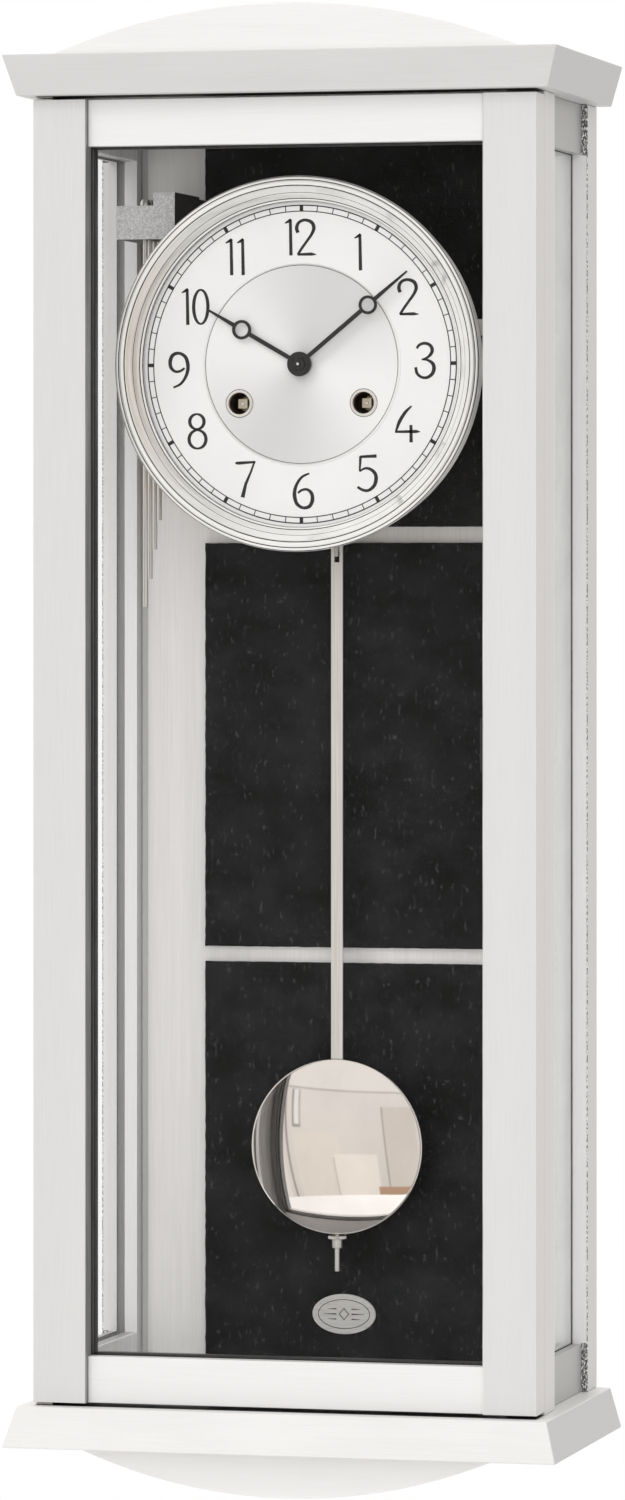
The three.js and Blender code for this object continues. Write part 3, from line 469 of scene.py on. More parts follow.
def ground_casting():
    """Coarse speckled grey casting with a ground face; its sides are painted near black as shade."""
    paint = Paint("ground_casting")
    speck = paint.noise(1500, detail=3.0, roughness=0.75)
    face = paint.shades(speck, 0.40, 0.60, tone(0.62), tone(1.0))
    # Painted shade on the sides.
    shaded_sides = paint.mix(speck, tone(0.055, -0.02), tone(0.085, -0.02))
    front = paint.below(paint.axis("Y"), BLOCK_FACE)
    paint.set(Base_Color=paint.mix(front, shaded_sides, face), Roughness=0.62, Metallic=0.1)
    return paint.bump(speck, 0.45, 0.0003).material


def satin_black(name, low=0.010, high=0.022, roughness=0.38):
    paint = Paint(name)
    fleck = paint.noise(900, detail=3.0)
    paint.set(Base_Color=paint.mix(fleck, tone(low), tone(high)))
    paint.set(Roughness=paint.spread(fleck, 0.3, 0.7, roughness, roughness + 0.12))
    return paint.material


def hole_shade_brown():
    # A dark brown painted as the shade inside the winding holes.
    paint = Paint("hole_shade_brown")
    blot = paint.noise(500, detail=4.0)
    paint.set(Base_Color=paint.mix(blot, (0.020, 0.013, 0.008, 1), (0.065, 0.045, 0.028, 1)))
    paint.set(Roughness=paint.spread(blot, 0.3, 0.7, 0.3, 0.5), Metallic=0.4)
    return paint.material


def pale_floor():
    paint = Paint("pale_floor")
    cloud = paint.noise(3, detail=2.0)
    paint.set(Base_Color=paint.mix(cloud, tone(0.80), tone(0.84)), Roughness=0.8)
    return paint.material


LAMINATE_LEVEL = brushed_laminate("laminate_level", "X", light=0.90, dark=0.85, ends=DOOR_ENDS)
LAMINATE_BOARD = brushed_laminate("laminate_board", "X", light=0.92, dark=0.87)
# The side rails are painted darker than the posts as shade in their recess, and their inner faces lighter
# as light inside the case.
LAMINATE_DEEP = brushed_laminate("laminate_side_rail", "Y", light=0.50, dark=0.43, inner=0.0985, shade=1.1)
# The stiles are a shaded and a lit copy of one laminate: the left inner face is painted in deep shade, the
# right one lighter, as light from the left falls on it.
STILE_LEFT = brushed_laminate("laminate_stile_left", "Z", light=0.755, dark=0.69, inner=0.0906, shade=0.36,
                              lip=0.0975, ends=DOOR_ENDS)
STILE_RIGHT = brushed_laminate("laminate_stile_right", "Z", light=0.76, dark=0.70, inner=0.0906, shade=0.8,
                               ends=DOOR_ENDS)
# The posts' inner faces are painted in shade.
POST = brushed_laminate("laminate_post", "Z", light=0.76, dark=0.70, inner=0.0977, shade=0.6)
REAR_POST = rear_post_laminate()
# One lacquer in two greys: the cornice's is painted darker as shade on its down-facing slope, the base's
# lighter as light on its up-facing slope.
CORNICE_LACQUER = moulding_lacquer("cornice_lacquer", 0.66, 0.71)
BASE_LACQUER = moulding_lacquer("base_lacquer", 0.80, 0.86)
BOARD = fibreboard()
SHEET = brushed_sheet()
SLATE = slate_stone()
# The panes differ only in how soon their painted reflection sets in and how metallic it is.
DOOR_GLASS = window_glass("door_window", 3.5, 0.8)
RIGHT_GLASS = window_glass("right_window", 1.0, 0.2)
LEFT_GLASS = window_glass("left_window", 7.0, 0.6)
DIAL = spun_dial()
CHROME = polished_metal("bright_chrome", (0.92, 0.90, 0.87, 1))
NICKEL = polished_metal("polished_nickel", (0.94, 0.89, 0.85, 1), roughness=0.03, haze=0.02)
BEZEL_METAL = ridged_bezel()
BADGE_METAL = drawn_metal("badge_silver", (0.93, 0.93, 0.92, 1), "X", roughness=0.45)
STEEL = drawn_metal("drawn_steel", (0.66, 0.65, 0.63, 1), "Z")
ROD_STEEL = drawn_metal("rod_silver", (0.90, 0.89, 0.87, 1), "Z", roughness=0.36)
GONG_STEEL = drawn_metal("gong_rod_steel", (0.92, 0.91, 0.89, 1), "Z", roughness=0.34)
ARBOR_STEEL = drawn_metal("arbor_steel", (0.70, 0.64, 0.52, 1), "X", roughness=0.3)
BRASS = drawn_metal("polished_brass", (0.72, 0.50, 0.20, 1), "X", roughness=0.2)
CAST = ground_casting()
HAND_BLACK = satin_black("hand_black")
INK = satin_black("dial_ink", 0.012, 0.024, roughness=0.5)
BEAD = satin_black("glazing_bead", 0.03, 0.10, roughness=0.35)
RUBBER = satin_black("glazing_seal", 0.006, 0.014, roughness=0.55)
BROWN = hole_shade_brown()
CATCH_BLACK = satin_black("catch_black", 0.02, 0.04, roughness=0.6)
FLOOR = pale_floor()

# What each CAD node is finished in, and the width of its edge rounding.
FINISHES = {
    "cornice": (CORNICE_LACQUER, 0.6), "base_moulding": (BASE_LACQUER, 0.6),
    "crest_board": (LAMINATE_BOARD, 0.4), "skirt_board": (LAMINATE_BOARD, 0.4),
    "front_post": (POST, 0.4), "rear_post": (REAR_POST, 0.4),
    "side_rail": (LAMINATE_DEEP, 0.3),
    "side_glass_right": (RIGHT_GLASS, 0.0), "side_glass_left": (LEFT_GLASS, 0.0),
    "back_board": (BOARD, 0.4), "hanger_plate": (STEEL, 0.2), "back_facing": (SHEET, 0.1),
    "slate": (SLATE, 0.5), "badge": (BADGE_METAL, 0.25), "magnet_catch": (CATCH_BLACK, 0.6),
    "hinge": (STEEL, 0.1), "dial_plate": (DIAL, 0.1), "dial_drum": (GONG_STEEL, 0.1),
    "bezel_lug": (GONG_STEEL, 0.3), "movement": (BRASS, 0.2), "suspension_cock": (BRASS, 0.3),
    "gong_block": (CAST, 1.6), "gong_rod": (GONG_STEEL, 0.1),
    "door_stile_left": (STILE_LEFT, 0.45), "door_stile_right": (STILE_RIGHT, 0.45),
    "door_rail": (LAMINATE_LEVEL, 0.35), "door_glass": (DOOR_GLASS, 0.0),
    "strike_plate": (STEEL, 0.1), "minute_hand": (HAND_BLACK, 0.15), "hour_hand": (HAND_BLACK, 0.15),
    "centre_arbor": (BRASS, 0.1),
    "time_winding_arbor": (ARBOR_STEEL, 0.35), "strike_winding_arbor": (ARBOR_STEEL, 0.35),
    "verge": (STEEL, 0.1), "strike_hammer": (STEEL, 0.3),
    "pendulum_leader": (STEEL, 0.1), "pendulum_rod": (ROD_STEEL, 0.18),
}


def finish_frame():
    """Paints and rounds every CAD node whose name starts with a key of FINISHES."""
    for name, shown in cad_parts.items():
        keys = [key for key in FINISHES if name.startswith(key)]
        if not keys:
            continue
        material, rounding = FINISHES[max(keys, key=len)]
        shown.data.materials.clear()
        shown.data.materials.append(material)
        if rounding:
            round_edges(shown, rounding)


def round_edges(shown, width):
    """Smooth shading with bevelled edges, after flat areas have lost their inner edges."""
    normals = shown.data.attributes.get("custom_normal")
    if normals:
        shown.data.attributes.remove(normals)
    shown.data.polygons.foreach_set("use_smooth", [True] * len(shown.data.polygons))
    weld = shown.modifiers.new("weld", "WELD")
    weld.merge_threshold = 0.001 * MM
    flatten = shown.modifiers.new("flatten", "DECIMATE")
    flatten.decimate_type = "DISSOLVE"
    flatten.angle_limit = math.radians(0.5)
    bevel = shown.modifiers.new("bevel", "BEVEL")
    bevel.width = width * MM
    bevel.segments = 2
    bevel.limit_method = "ANGLE"
    bevel.angle_limit = math.radians(35)
    shown.modifiers.new("normals", "WEIGHTED_NORMAL")


# ---------------------------------------------------------------- making meshes

def piece(name, points, faces, material, body, slot, smooth_below=35):
    """A named mesh from points in millimetres that rides a body."""
    mesh = bpy.data.meshes.new(name)
    mesh.from_pydata([Vector(point) * MM for point in points], [], faces)
    mesh.validate()
    mesh.update()
    mesh.materials.append(material)
    made = bpy.data.objects.new(name, mesh)
    bpy.context.collection.objects.link(made)
    smooth_by_angle(mesh, math.radians(smooth_below))
    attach(made, body)
    return made


def smooth_by_angle(mesh, limit):
    mesh.polygons.foreach_set("use_smooth", [True] * len(mesh.polygons))
    mesh.set_sharp_from_angle(angle=limit)


def box_part(low, high):
    """Points and faces of a box between two corners."""
    (x0, y0, z0), (x1, y1, z1) = low, high
    points = [(x0, y0, z0), (x1, y0, z0), (x1, y1, z0), (x0, y1, z0),
              (x0, y0, z1), (x1, y0, z1), (x1, y1, z1), (x0, y1, z1)]
    faces = [(3, 2, 1, 0), (4, 5, 6, 7), (0, 1, 5, 4), (1, 2, 6, 5), (2, 3, 7, 6), (3, 0, 4, 7)]
    return points, faces


def joined(parts):
    """One list of points and faces out of several."""
    points, faces = [], []
    for part_points, part_faces in parts:
        start = len(points)
        points.extend(part_points)
        faces.extend(tuple(start + corner for corner in face) for face in part_faces)
    return points, faces


def turned_points(profile, segments, centre):
    """The points of a profile of (radius, depth along Y), again at each step about a line along Y."""
    points = []
    for step in range(segments):
        angle = 2 * math.pi * step / segments
        for radius, depth in profile:
            x = centre[0] + radius * math.cos(angle)
            z = centre[2] + radius * math.sin(angle)
            points.append((x, centre[1] + depth, z))
    return points


def loop_faces(steps, count, edges):
    """Faces between neighbouring steps of a closed loop, for the first edges of each step's outline."""
    faces = []
    for step in range(steps):
        here, there = step * count, ((step + 1) % steps) * count
        for i in range(edges):
            j = (i + 1) % count
            faces.append((here + i, here + j, there + j, there + i))
    return faces


def turned_part(profile, segments, centre=(0, 0, 0)):
    """A closed profile turned about a line along Y."""
    count = len(profile)
    return turned_points(profile, segments, centre), loop_faces(segments, count, count)


def turned_knob(profile, segments, centre=(0, 0, 0)):
    """An open profile turned about a line along Y, its two ends closed with flat caps."""
    count = len(profile)
    faces = loop_faces(segments, count, count - 1)
    faces.append(tuple(step * count for step in range(segments)))
    faces.append(tuple(step * count + count - 1 for step in reversed(range(segments))))
    return turned_points(profile, segments, centre), faces


def curve_through(knots, widths, steps=8):
    """A smooth run of points and half widths through the knots."""
    points, halves = [], []
    last = len(knots) - 1
    for i in range(last):
        before, start = knots[max(i - 1, 0)], knots[i]
        end, after = knots[i + 1], knots[min(i + 2, last)]
        for step in range(steps):
            t = step / steps
            points.append(tuple(catmull_rom(before[k], start[k], end[k], after[k], t) for k in range(2)))
            halves.append(widths[i] + (widths[i + 1] - widths[i]) * t)
    points.append(knots[-1])
    halves.append(widths[-1])
    return points, halves


def catmull_rom(before, start, end, after, t):
    return 0.5 * (2 * start + (end - before) * t + (2 * before - 5 * start + 4 * end - after) * t ** 2
                  + (3 * start - before - 3 * end + after) * t ** 3)


def ribbon_part(points, halves, back, front, closed=False):
    """A flat stroke of varying width, solid from back to front along Y."""
    corners, faces = [], []
    count = len(points)
    for i, (x, z) in enumerate(points):
        ahead = points[(i + 1) % count] if closed else points[min(i + 1, count - 1)]
        behind = points[i - 1] if closed else points[max(i - 1, 0)]
        run = Vector((ahead[0] - behind[0], ahead[1] - behind[1])).normalized()
        side = Vector((-run.y, run.x)) * halves[i]
        corners += [(x + side.x, front, z + side.y), (x - side.x, front, z - side.y),
                    (x - side.x, back, z - side.y), (x + side.x, back, z + side.y)]
    for i in range(count if closed else count - 1):
        here, there = 4 * i, 4 * ((i + 1) % count)
        for k in range(4):
            m = (k + 1) % 4
            faces.append((here + k, there + k, there + m, here + m))
    if not closed:
        end = 4 * (count - 1)
        faces += [(0, 1, 2, 3), (end + 3, end + 2, end + 1, end)]
    return corners, faces


# ---------------------------------------------------------------- dial

def stroke_part(stroke, centre):
    """One printed stroke of a digit."""
    back, front = DIAL_FRONT + 0.02, DIAL_FRONT - PRINT_HEIGHT
    if stroke[0] == "ellipse":
        middle, (half_x, half_z) = stroke[1], stroke[2]
        points, halves = [], []
        for step in range(48):
            angle = 2 * math.pi * step / 48
            points.append((centre[0] + middle[0] + half_x * math.cos(angle),
                           centre[1] + middle[1] + half_z * math.sin(angle)))
            halves.append(STROKE_WEIGHT * (0.32 + 0.26 * abs(math.cos(angle))))
        return ribbon_part(points, halves, back, front, closed=True)
    knots = [(centre[0] + x, centre[1] + z) for x, z in stroke[1]]
    widths = [half * STROKE_WEIGHT for half in stroke[2]]
    if stroke[0] == "line":
        return ribbon_part(knots, widths, back, front)
    points, halves = curve_through(knots, widths)
    return ribbon_part(points, halves, back, front)


def make_numerals():
    for text, (x, z) in NUMERALS.items():
        shifts = PAIR_OFFSETS.get(text, (0.0,))
        parts = [stroke_part(stroke, (x + shift, z))
                 for digit, shift in zip(text, shifts) for stroke in DIGITS[digit]]
        piece(f"numeral_{text}", *joined(parts), INK, "case", "hand_black")


def ring_part(radius, width, back, front, segments=180, centre=(0, 0, 0)):
    half = width / 2
    profile = [(radius - half, back), (radius + half, back), (radius + half, front), (radius - half, front)]
    return turned_part(profile, segments, centre)


def make_minute_track():
    back, front = DIAL_FRONT + 0.02, DIAL_FRONT - PRINT_HEIGHT
    parts = [ring_part(TRACK_OUTER, 0.5, back, front), ring_part(TRACK_INNER, 0.42, back, front)]
    for minute in range(60):
        angle = math.radians(6 * minute)
        half = HOUR_BAR / 2 if minute % 5 == 0 else MINUTE_LINE / 2
        ends = [(at * math.sin(angle), at * math.cos(angle)) for at in (TRACK_INNER, TRACK_OUTER)]
        parts.append(ribbon_part(ends, [half, half], back, front))
    piece("minute_track", *joined(parts), INK, "case", "hand_black")


def make_dial_details():
    """The ridge around the spun middle and the eyelets in the winding holes."""
    ridge = [(44.3, 0.02), (44.5, -0.25), (44.9, -0.4), (45.4, -0.25), (45.6, 0.02)]
    piece("dial_ridge", *turned_part(ridge, 160, (0, DIAL_FRONT, 0)), DIAL, "case", "dial_silver")
    groove = ring_part(44.15, 0.22, DIAL_FRONT + 0.02, DIAL_FRONT - 0.05, 160)
    piece("dial_ridge_shadow", *groove, INK, "case", "hand_black")
    eyelet = [(4.7, 1.0), (4.7, -0.3), (4.9, -0.6), (5.4, -0.75), (5.9, -0.6), (6.15, -0.2), (6.15, 0.02),
              (5.1, 0.02), (5.1, 1.0)]
    for side, x in (("left", -WINDING_X), ("right", WINDING_X)):
        centre = (x, DIAL_FRONT, WINDING_Z)
        piece(f"winding_eyelet_{side}", *turned_part(eyelet, 64, centre), CHROME, "case", "bright_chrome")
        outline = ring_part(6.25, 0.16, 0.02, -0.05, 64, centre)
        piece(f"eyelet_shadow_{side}", *outline, INK, "case", "hand_black")


def make_winding_wells():
    """Dark sleeves between the winding holes and the movement, in a brown painted as the shade inside
    the holes.
    """
    sleeve = [(4.9, 1.3), (5.6, 1.3), (5.6, 12.9), (3.5, 12.9), (3.5, 12.5), (4.9, 11.0)]
    for side, x in (("left", -WINDING_X), ("right", WINDING_X)):
        centre = (x, DIAL_FRONT, WINDING_Z)
        piece(f"winding_sleeve_{side}", *turned_part(sleeve, 48, centre), BROWN, "case", "catch_black")


def make_arbor_ends():
    """The turned centre mark in the end of each winding square."""
    tip_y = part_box("time_winding_arbor")[0].y / MM
    mark = [(0.35, tip_y - 0.12), (0.75, tip_y - 0.12), (0.95, tip_y + 0.02), (0.35, tip_y + 0.02)]
    for name, body, x in (("strike", "strike_winding", -WINDING_X), ("time", "time_winding", WINDING_X)):
        ring = turned_part(mark, 24, (x, 0, WINDING_Z))
        piece(f"{name}_arbor_mark", *ring, CHROME, body, "steel")


def make_bezel():
    """Spun ring: fine ridges outside, a wide funnel, and a small bead next to the dial."""
    profile = [
        (80.6, -93.0), (82.0, -93.0), (82.0, -103.0), (82.6, -103.3), (83.2, -103.9), (83.55, -104.8),
        (83.6, -105.6), (83.4, -106.4), (83.0, -106.95), (82.4, -107.2), (82.0, -107.15), (81.75, -106.8),
        (81.5, -107.15), (81.1, -107.5), (80.5, -107.6), (79.9, -107.45), (79.4, -107.1), (79.15, -106.7),
        (78.9, -106.6), (78.4, -105.9), (77.6, -104.8), (76.8, -103.75), (76.0, -102.75), (75.2, -101.8),
        (74.5, -101.0), (74.0, -100.5), (73.7, -100.1), (73.4, -100.25), (73.0, -100.15), (72.7, -99.6),
        (72.5, -98.8), (72.5, -97.0), (80.6, -97.0),
    ]
    ring = piece("bezel_ring", *turned_part(profile, 192), BEZEL_METAL, "case", "bright_chrome", 50)
    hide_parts("bezel")


def make_hand_nut():
    """Domed nut over a washer, with the arbor's bright tip standing out of it."""
    profile = [(0.5, -103.7), (1.0, -103.6), (1.35, -103.3), (1.55, -102.9), (2.0, -102.85), (2.5, -102.7),
               (2.85, -102.35), (3.05, -101.9), (3.05, -101.3)]
    nut = piece("hand_nut_domed", *turned_knob(profile, 48), HAND_BLACK, "minute", "hand_black")
    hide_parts("hand_nut")
    tip = [(0.25, -103.95), (0.5, -103.85), (0.7, -103.6), (0.7, -103.4)]
    piece("centre_arbor_tip", *turned_knob(tip, 24), CHROME, "minute", "steel")
    washer = [(1.7, -101.6), (4.4, -101.6), (4.7, -101.45), (4.8, -101.2), (1.7, -101.2)]
    piece("hand_washer", *turned_part(washer, 48), HAND_BLACK, "minute", "hand_black")


# ---------------------------------------------------------------- pendulum

def carved(shown, low, high):
    """Takes a box-shaped slot out of a piece."""
    mesh = bpy.data.meshes.new("cutter")
    points, faces = box_part(low, high)
    mesh.from_pydata([Vector(point) * MM for point in points], [], faces)
    cutter = bpy.data.objects.new("cutter", mesh)
    bpy.context.collection.objects.link(cutter)
    slot = shown.modifiers.new("slot", "BOOLEAN")
    slot.operation = "DIFFERENCE"
    slot.object = cutter
    slot.solver = "EXACT"
    bpy.context.view_layer.update()
    done = bpy.data.meshes.new_from_object(shown.evaluated_get(bpy.context.evaluated_depsgraph_get()))
    shown.modifiers.clear()
    shown.data = done
    smooth_by_angle(done, math.radians(35))
    bpy.data.objects.remove(cutter)


def make_bob():
    """Lens of polished sheet with a rolled rim, and the slot that the rod passes through."""
    bulge, rim, steps = 6.2, 1.8, 18
    sphere = (BOB_RADIUS ** 2 + bulge ** 2) / (2 * bulge)
    front = []
    for step in range(1, steps + 1):
        at = (BOB_RADIUS - 1.0) * step / steps
        front.append((at, -(rim + math.sqrt(sphere ** 2 - at ** 2) - (sphere - bulge))))
    edge = [(39.5, -1.95), (39.85, -1.5), (40.0, -0.8), (40.0, 0.8), (39.85, 1.5), (39.5, 1.95)]
    back = [(at, -depth) for at, depth in reversed(front)]
    lens = turned_knob(front + edge + back, 128, (0, PENDULUM_Y, BOB_Z))
    bob = piece("bob_lens", *lens, NICKEL, "pendulum_bob", "bright_chrome", 50)
    half_wide, half_deep, half_high = 3.0, 1.25, BOB_RADIUS + 2
    carved(bob, (-half_wide, PENDULUM_Y - half_deep, BOB_Z - half_high),
           (half_wide, PENDULUM_Y + half_deep, BOB_Z + half_high))
    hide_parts("bob")


def make_rating_nut():
    """Knurled collar under a plain flange."""
    teeth = 30
    # Height, radius and depth of the knurling.
    ring = [(-399.5, 2.1, 0.0), (-399.2, 2.35, 0.0), (-395.5, 2.35, 0.0), (-395.3, 3.8, 0.16),
            (-395.1, 4.0, 0.16), (-394.1, 4.0, 0.16), (-393.9, 3.8, 0.16),
            (-393.9, 1.35, 0.0), (-399.5, 1.35, 0.0)]
    points, faces = [], []
    steps = teeth * 4
    for step in range(steps):
        angle = 2 * math.pi * step / steps
        for height, radius, knurl in ring:
            at = radius + knurl * math.cos(teeth * angle)
            points.append((at * math.cos(angle), PENDULUM_Y + at * math.sin(angle), height))
    count = len(ring)
    for step in range(steps):
        here, there = step * count, ((step + 1) % steps) * count
        for i in range(count):
            j = (i + 1) % count
            faces.append((here + i, there + i, there + j, here + j))
    nut = piece("rating_nut_knurled", points, faces, ROD_STEEL, "regulating_nut", "steel", 25)
    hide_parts("rating_nut")


# ---------------------------------------------------------------- train

def gear_part(teeth, root, tip, back, front, bore, centre):
    """A spur wheel with flat-topped teeth; the bore keeps the wheel open in the middle."""
    shape = [(0.0, root), (0.22, root), (0.36, tip), (0.64, tip), (0.78, root)]
    outline = [(2 * math.pi * (tooth + share) / teeth, radius)
               for tooth in range(teeth) for share, radius in shape]
    points = []
    for angle, radius in outline:
        for at, depth in ((radius, front), (radius, back), (bore, back), (bore, front)):
            points.append((centre[0] + at * math.sin(angle), depth, centre[1] + at * math.cos(angle)))
    return points, loop_faces(len(outline), 4, 4)


def make_barrels():
    """Drums with a lid, a lipped edge and a ring of teeth."""
    for name, body, x in (("strike", "strike_drum", -WINDING_X), ("time", "time_drum", WINDING_X)):
        drum = [(3.25, -76.0), (17.2, -76.0), (17.6, -75.6), (18.2, -75.6), (18.6, -76.0), (19.0, -75.8),
                (19.0, -50.2), (18.8, -50.0), (3.25, -50.0)]
        parts = [turned_part(drum, 96, (x, 0, WINDING_Z)),
                 gear_part(72, 18.6, 20.5, -51.0, -53.0, 18.4, (x, WINDING_Z))]
        barrel = piece(f"{name}_barrel_toothed", *joined(parts), BRASS, body, "brass", 30)
        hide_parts(f"{name}_barrel")


def make_escape_wheel():
    """Toothed rim on four arms, with its hub and arbor."""
    centre = (0, 0, ESCAPE_Z)
    wheel = gear_part(30, 6.3, 8.0, -60.5, -62.0, 5.4, (0, ESCAPE_Z))
    arms = []
    for quarter in range(4):
        angle = math.radians(45 + 90 * quarter)
        ends = [(at * math.sin(angle), ESCAPE_Z + at * math.cos(angle)) for at in (1.2, 5.6)]
        arms.append(ribbon_part(ends, [0.6, 0.6], -60.6, -61.9))
    hub = turned_part([(0.0, -58.0), (1.6, -58.0), (1.6, -64.0), (0.0, -64.0)], 24, centre)
    arbor = turned_part([(0.0, -80.7), (0.8, -80.7), (0.8, -44.3), (0.0, -44.3)], 20, centre)
    whole = joined([wheel, hub, arbor] + arms)
    made = piece("escape_wheel_toothed", *whole, BRASS, "escapement_wheel", "brass", 30)
    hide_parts("escape_wheel")


def make_plate_nuts():
    """Nuts and rings where the pillars come through the rear plate."""
    places = [(-44, -46), (44, -46), (-34, 45), (34, 45)]
    nut = [(0.0, -41.9), (3.3, -41.9), (3.3, -40.4), (2.9, -40.1), (1.9, -40.1), (1.7, -39.2), (0.0, -39.2)]
    parts = [turned_part(nut, 6, (x, 0, z)) for x, z in places]
    piece("pillar_nuts", *joined(parts), STEEL, "case", "steel", 20)


# ---------------------------------------------------------------- case

def bar_frame(corner_low, corner_high, width, across, depth):
    """Four bars around an opening in the plane of Z and the across axis, X or Y. Depth is the span
    on the other axis."""
    (a0, z0), (a1, z1) = corner_low, corner_high
    spans = [((a0, a0 + width), (z0, z1)), ((a1 - width, a1), (z0, z1)),
             ((a0, a1), (z0, z0 + width)), ((a0, a1), (z1 - width, z1))]
    parts = []
    for (low, high), (bottom, top) in spans:
        if across == "X":
            parts.append(box_part((low, depth[0], bottom), (high, depth[1], top)))
        else:
            parts.append(box_part((depth[0], low, bottom), (depth[1], high, top)))
    return joined(parts)


def make_seals():
    """Dark glazing strips around the panes; at the side panes they also stand in for the shadow line
    at the pane's edge.
    """
    low, high = CASE_BOTTOM + 39.5, CASE_BOTTOM + 577.0
    for side, depth in (("right", (106.55, 106.9)), ("left", (-106.9, -106.55))):
        # At the side panes the dark strips also stand in for the shadow line at the pane's edge.
        strip = bar_frame((-92.5, low + 0.05), (-20.05, high - 0.05), 0.3, "Y", depth)
        piece(f"side_seal_shadow_line_{side}", *strip, RUBBER, "case", "catch_black")
    bottom, top = CASE_BOTTOM + 40.0, CASE_BOTTOM + 577.3
    strip = bar_frame((-90.15, bottom + 0.05), (90.15, top - 0.05), 0.5, "X", (-121.6, -121.05))
    piece("door_seal", *strip, RUBBER, "door", "catch_black")
    bead = bar_frame((-90.1, bottom + 0.1), (90.1, top - 0.1), 0.9, "X", (-117.95, -113.9))
    piece("door_glazing_bead", *bead, BEAD, "door", "catch_black")


def riven_outline(low, high, wander, seed):
    """A rectangle whose edges wander a little, as split stone does."""
    chance = random.Random(seed)
    (x0, z0), (x1, z1) = low, high
    points = []
    corners = [(x0, z0), (x1, z0), (x1, z1), (x0, z1), (x0, z0)]
    for (ax, az), (bx, bz) in zip(corners, corners[1:]):
        steps = int(max(abs(bx - ax), abs(bz - az)) / 2.4)
        for step in range(steps):
            share = step / steps
            inward = chance.uniform(0, wander if az != bz else wander / 2)
            x, z = ax + (bx - ax) * share, az + (bz - az) * share
            if az == bz:
                z += inward if az == z0 else -inward
            else:
                x += inward if ax == x0 else -inward
            points.append((x, z))
    return points


def make_slates():
    """Slate slabs with split edges and a small chamfer."""
    for seed, place in enumerate(("bottom", "middle", "top")):
        low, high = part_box(f"slate_{place}")
        outline = riven_outline((low.x / MM, low.z / MM), (high.x / MM, high.z / MM), 0.35, seed)
        middle = (low.z + high.z) / 2 / MM
        inset = [(x - math.copysign(SLATE_CHAMFER, x), z - math.copysign(SLATE_CHAMFER, z - middle))
                 for x, z in outline]
        front, back = low.y / MM, high.y / MM
        count = len(outline)
        points = [(x, front, z) for x, z in inset]
        points += [(x, front + SLATE_CHAMFER, z) for x, z in outline]
        points += [(x, back, z) for x, z in outline]
        faces = [tuple(range(count)), tuple(range(3 * count - 1, 2 * count - 1, -1))]
        for i in range(count):
            j = (i + 1) % count
            faces.append((j, i, count + i, count + j))
            faces.append((count + j, count + i, 2 * count + i, 2 * count + j))
        slab = piece(f"slate_slab_{place}", points, faces, SLATE, "case", "slate", 20)
        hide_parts(f"slate_{place}")


def screw_part(x, z, surface, towards, radius):
    """A domed head that stands a little off a surface; towards is the way it faces in Y."""
    head = radius * 0.28
    profile = [(0.0, 0.0), (radius, 0.0), (radius * 0.92, towards * head * 0.6),
               (radius * 0.6, towards * head), (0.0, towards * head)]
    return turned_part(profile, 32, (x, surface, z))


def make_hanger_screws():
    """The two screws of the keyhole plate."""
    base = CASE_BOTTOM + 578
    screws = [screw_part(x, base, -0.75, 1, 2.6) for x in (-23, 23)]
    piece("hanger_screws", *joined(screws), STEEL, "case", "steel", 30)


def ellipse_outline(half_x, half_z, centre_z, count=72):
    angles = [2 * math.pi * i / count for i in range(count)]
    return [(half_x * math.cos(angle), centre_z + half_z * math.sin(angle)) for angle in angles]


def make_badge_relief():
    """Raised rim, a plain ring and a small lozenge on the oval badge, with no lettering."""
    centre = CASE_BOTTOM + 50
    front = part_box("badge")[0].y / MM
    back = front + 0.05
    rim = ribbon_part(ellipse_outline(14.2, 8.5, centre), [0.45] * 72, back, front - 0.35, closed=True)
    inner = ribbon_part(ellipse_outline(12.0, 6.6, centre), [0.14] * 72, back, front - 0.15, closed=True)
    lozenge = [(0.0, centre + 2.6), (2.2, centre), (0.0, centre - 2.6), (-2.2, centre)]
    marks = [ribbon_part(lozenge, [0.22] * 4, back, front - 0.15, closed=True)]
    for side in (-1, 1):
        for height, reach in ((0.0, 9.6), (2.3, 7.6), (-2.3, 7.6)):
            ends = [(side * 3.6, centre + height), (side * reach, centre + height)]
            marks.append(ribbon_part(ends, [0.26, 0.05], back, front - 0.15))
    piece("badge_ornament", *joined(marks), INK, "case", "hand_black")
    piece("badge_rim", *rim, BADGE_METAL, "case", "dial_silver")
    piece("badge_inner_ring", *inner, INK, "case", "hand_black")


# ---------------------------------------------------------------- surroundings

def make_world():
    """White for the camera; a soft studio gradient for light; a plain pale room for reflections."""
    world = bpy.data.worlds.new("studio")
    bpy.context.scene.world = world
    world.use_nodes = True
    world.node_tree.nodes.clear()
    sky = Nodes(world.node_tree)
    direction = sky.node("TexCoord").outputs["Generated"]
    ways = sky.node("SeparateXYZ", {0: direction}).outputs
    white = sky.node("Background", {"Color": (1, 1, 1, 1)})
    rays = sky.node("LightPath").outputs
    soft, bright = studio_light(sky, ways), reflected_room(sky, ways)
    lit = sky.node("MixShader", {0: rays["Is Glossy Ray"], 1: soft, 2: bright}).outputs[0]
    seen = sky.node("MixShader", {0: rays["Is Camera Ray"], 1: lit, 2: white.outputs[0]}).outputs[0]
    sky.node("OutputWorld", {"Surface": seen})


def studio_light(sky, ways):
    """Brightest from above and from behind the clock, and weaker from far right."""
    depth = sky.spread(ways["Y"], -0.6, 0.8, 0.66, 1.28)
    rise = sky.spread(ways["Z"], -0.6, 0.6, 0.62, 1.12)
    right = sky.spread(ways["X"], 0.35, 1.0, 1.0, 0.58)
    strength = sky.times(sky.times(depth, rise), right)
    light = sky.node("Background", {"Color": (1.0, 0.985, 0.97, 1), "Strength": strength})
    return light.outputs[0]


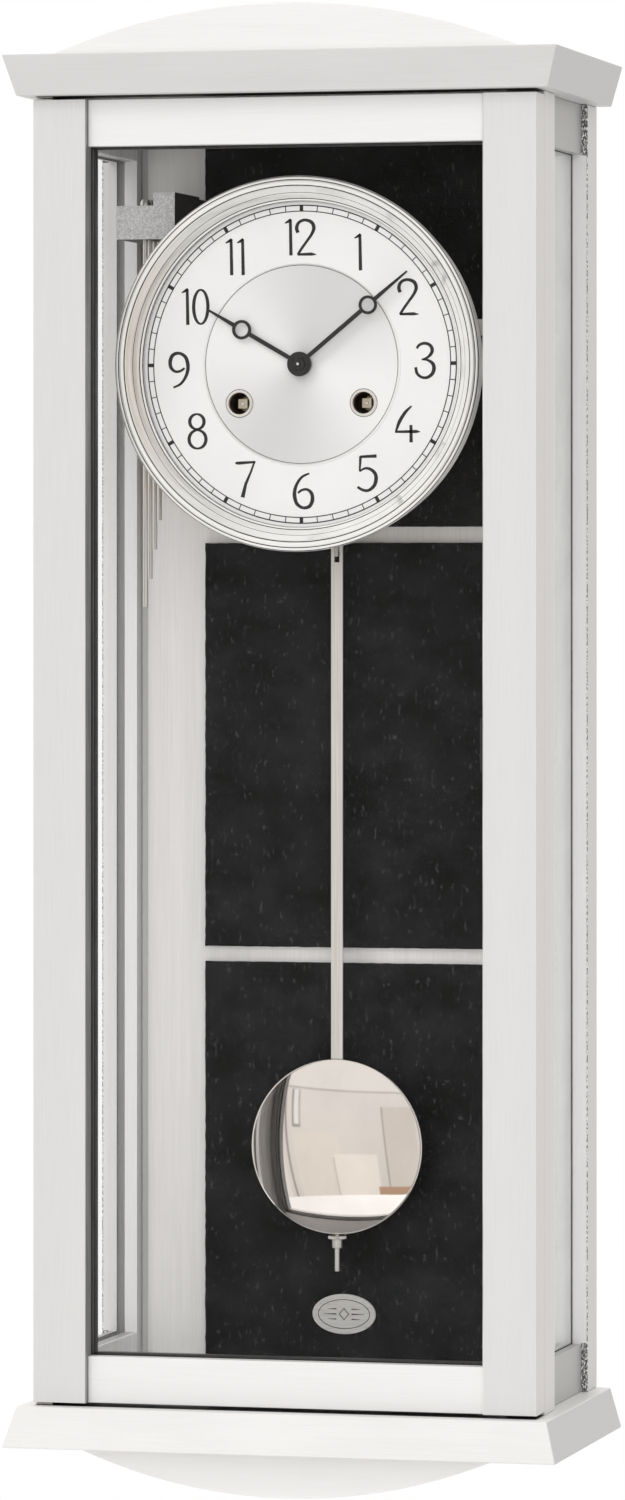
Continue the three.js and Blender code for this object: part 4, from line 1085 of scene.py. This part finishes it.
def reflected_room(sky, ways):
    """What shows in polished metal: pale walls, boards propped up, a doorway and a ceiling line."""
    turn = sky.times(sky.math("ARCTAN2", ways["X"], sky.times(ways["Y"], -1.0)), DEGREES)
    tilt = sky.times(sky.math("ARCSINE", ways["Z"]), DEGREES)
    wall = sky.shades(tilt, -30.0, 40.0, (0.70, 0.66, 0.62, 1), (0.84, 0.82, 0.80, 1))
    slanted = sky.plus(turn, sky.times(tilt, 0.12))
    for left, right, low, high, colour in ROOM_PANELS:
        panel = sky.times(soft_span(sky, slanted, left, right), soft_span(sky, tilt, low, high))
        wall = sky.mix(panel, wall, colour)
    strength = sky.spread(ways["Y"], -0.2, 0.6, 1.0, 1.25)
    return sky.node("Background", {"Color": wall, "Strength": strength}).outputs[0]


def soft_span(sky, value, low, high, soft=0.35):
    """One between low and high, nought elsewhere, with soft edges."""
    rising = sky.spread(value, low - soft, low + soft, 0.0, 1.0)
    falling = sky.spread(value, high - soft, high + soft, 1.0, 0.0)
    return sky.times(rising, falling)


def area_light(name, place, target, size, power):
    """A lamp aimed at a point, in metres and watts, that shows in no reflection."""
    light = bpy.data.lights.new(name, "AREA")
    light.shape = "RECTANGLE"
    light.size, light.size_y = size
    light.energy = power
    lamp = bpy.data.objects.new(name, light)
    lamp.location = place
    lamp.rotation_euler = (Vector(target) - Vector(place)).to_track_quat("-Z", "Y").to_euler()
    lamp.visible_glossy = False
    bpy.context.collection.objects.link(lamp)


def make_lights():
    area_light("key", (-1.3, -2.2, 1.9), (0, -0.1, -0.1), (1.4, 1.4), 24)
    area_light("front_fill", (0.7, -3.0, 0.3), (0, -0.1, -0.2), (2.0, 2.0), 24)


def make_floor():
    """A pale round floor with a small rounded edge, far below the clock."""
    edge = [(FLOOR_RADIUS - 0.02, 0.0), (FLOOR_RADIUS, 0.004), (FLOOR_RADIUS, 0.02)]
    points, faces = turned_knob(edge, 96)
    mesh = bpy.data.meshes.new("floor")
    mesh.from_pydata([(x, z, FLOOR_HEIGHT - y) for x, y, z in points], [], faces)
    mesh.materials.append(FLOOR)
    floor = bpy.data.objects.new("floor", mesh)
    bpy.context.collection.objects.link(floor)


def make_camera():
    camera = bpy.data.cameras.new("camera")
    camera.lens = LENS
    camera.sensor_width = SENSOR
    camera.sensor_fit = "AUTO"
    camera.shift_y = SHIFT
    camera.clip_end = 50
    shown = bpy.data.objects.new("camera", camera)
    shown.location = CAMERA_PLACE
    shown.rotation_euler = (math.radians(90), 0, math.radians(CAMERA_TURN))
    bpy.context.collection.objects.link(shown)
    bpy.context.scene.camera = shown


bpy.context.scene.view_settings.view_transform = "Standard"
finish_frame()
make_bezel()
make_numerals()
make_minute_track()
make_dial_details()
make_winding_wells()
make_arbor_ends()
make_hand_nut()
make_bob()
make_rating_nut()
make_barrels()
make_escape_wheel()
make_plate_nuts()
make_slates()
make_seals()
make_hanger_screws()
make_badge_relief()
make_world()
make_lights()
make_floor()
make_camera()
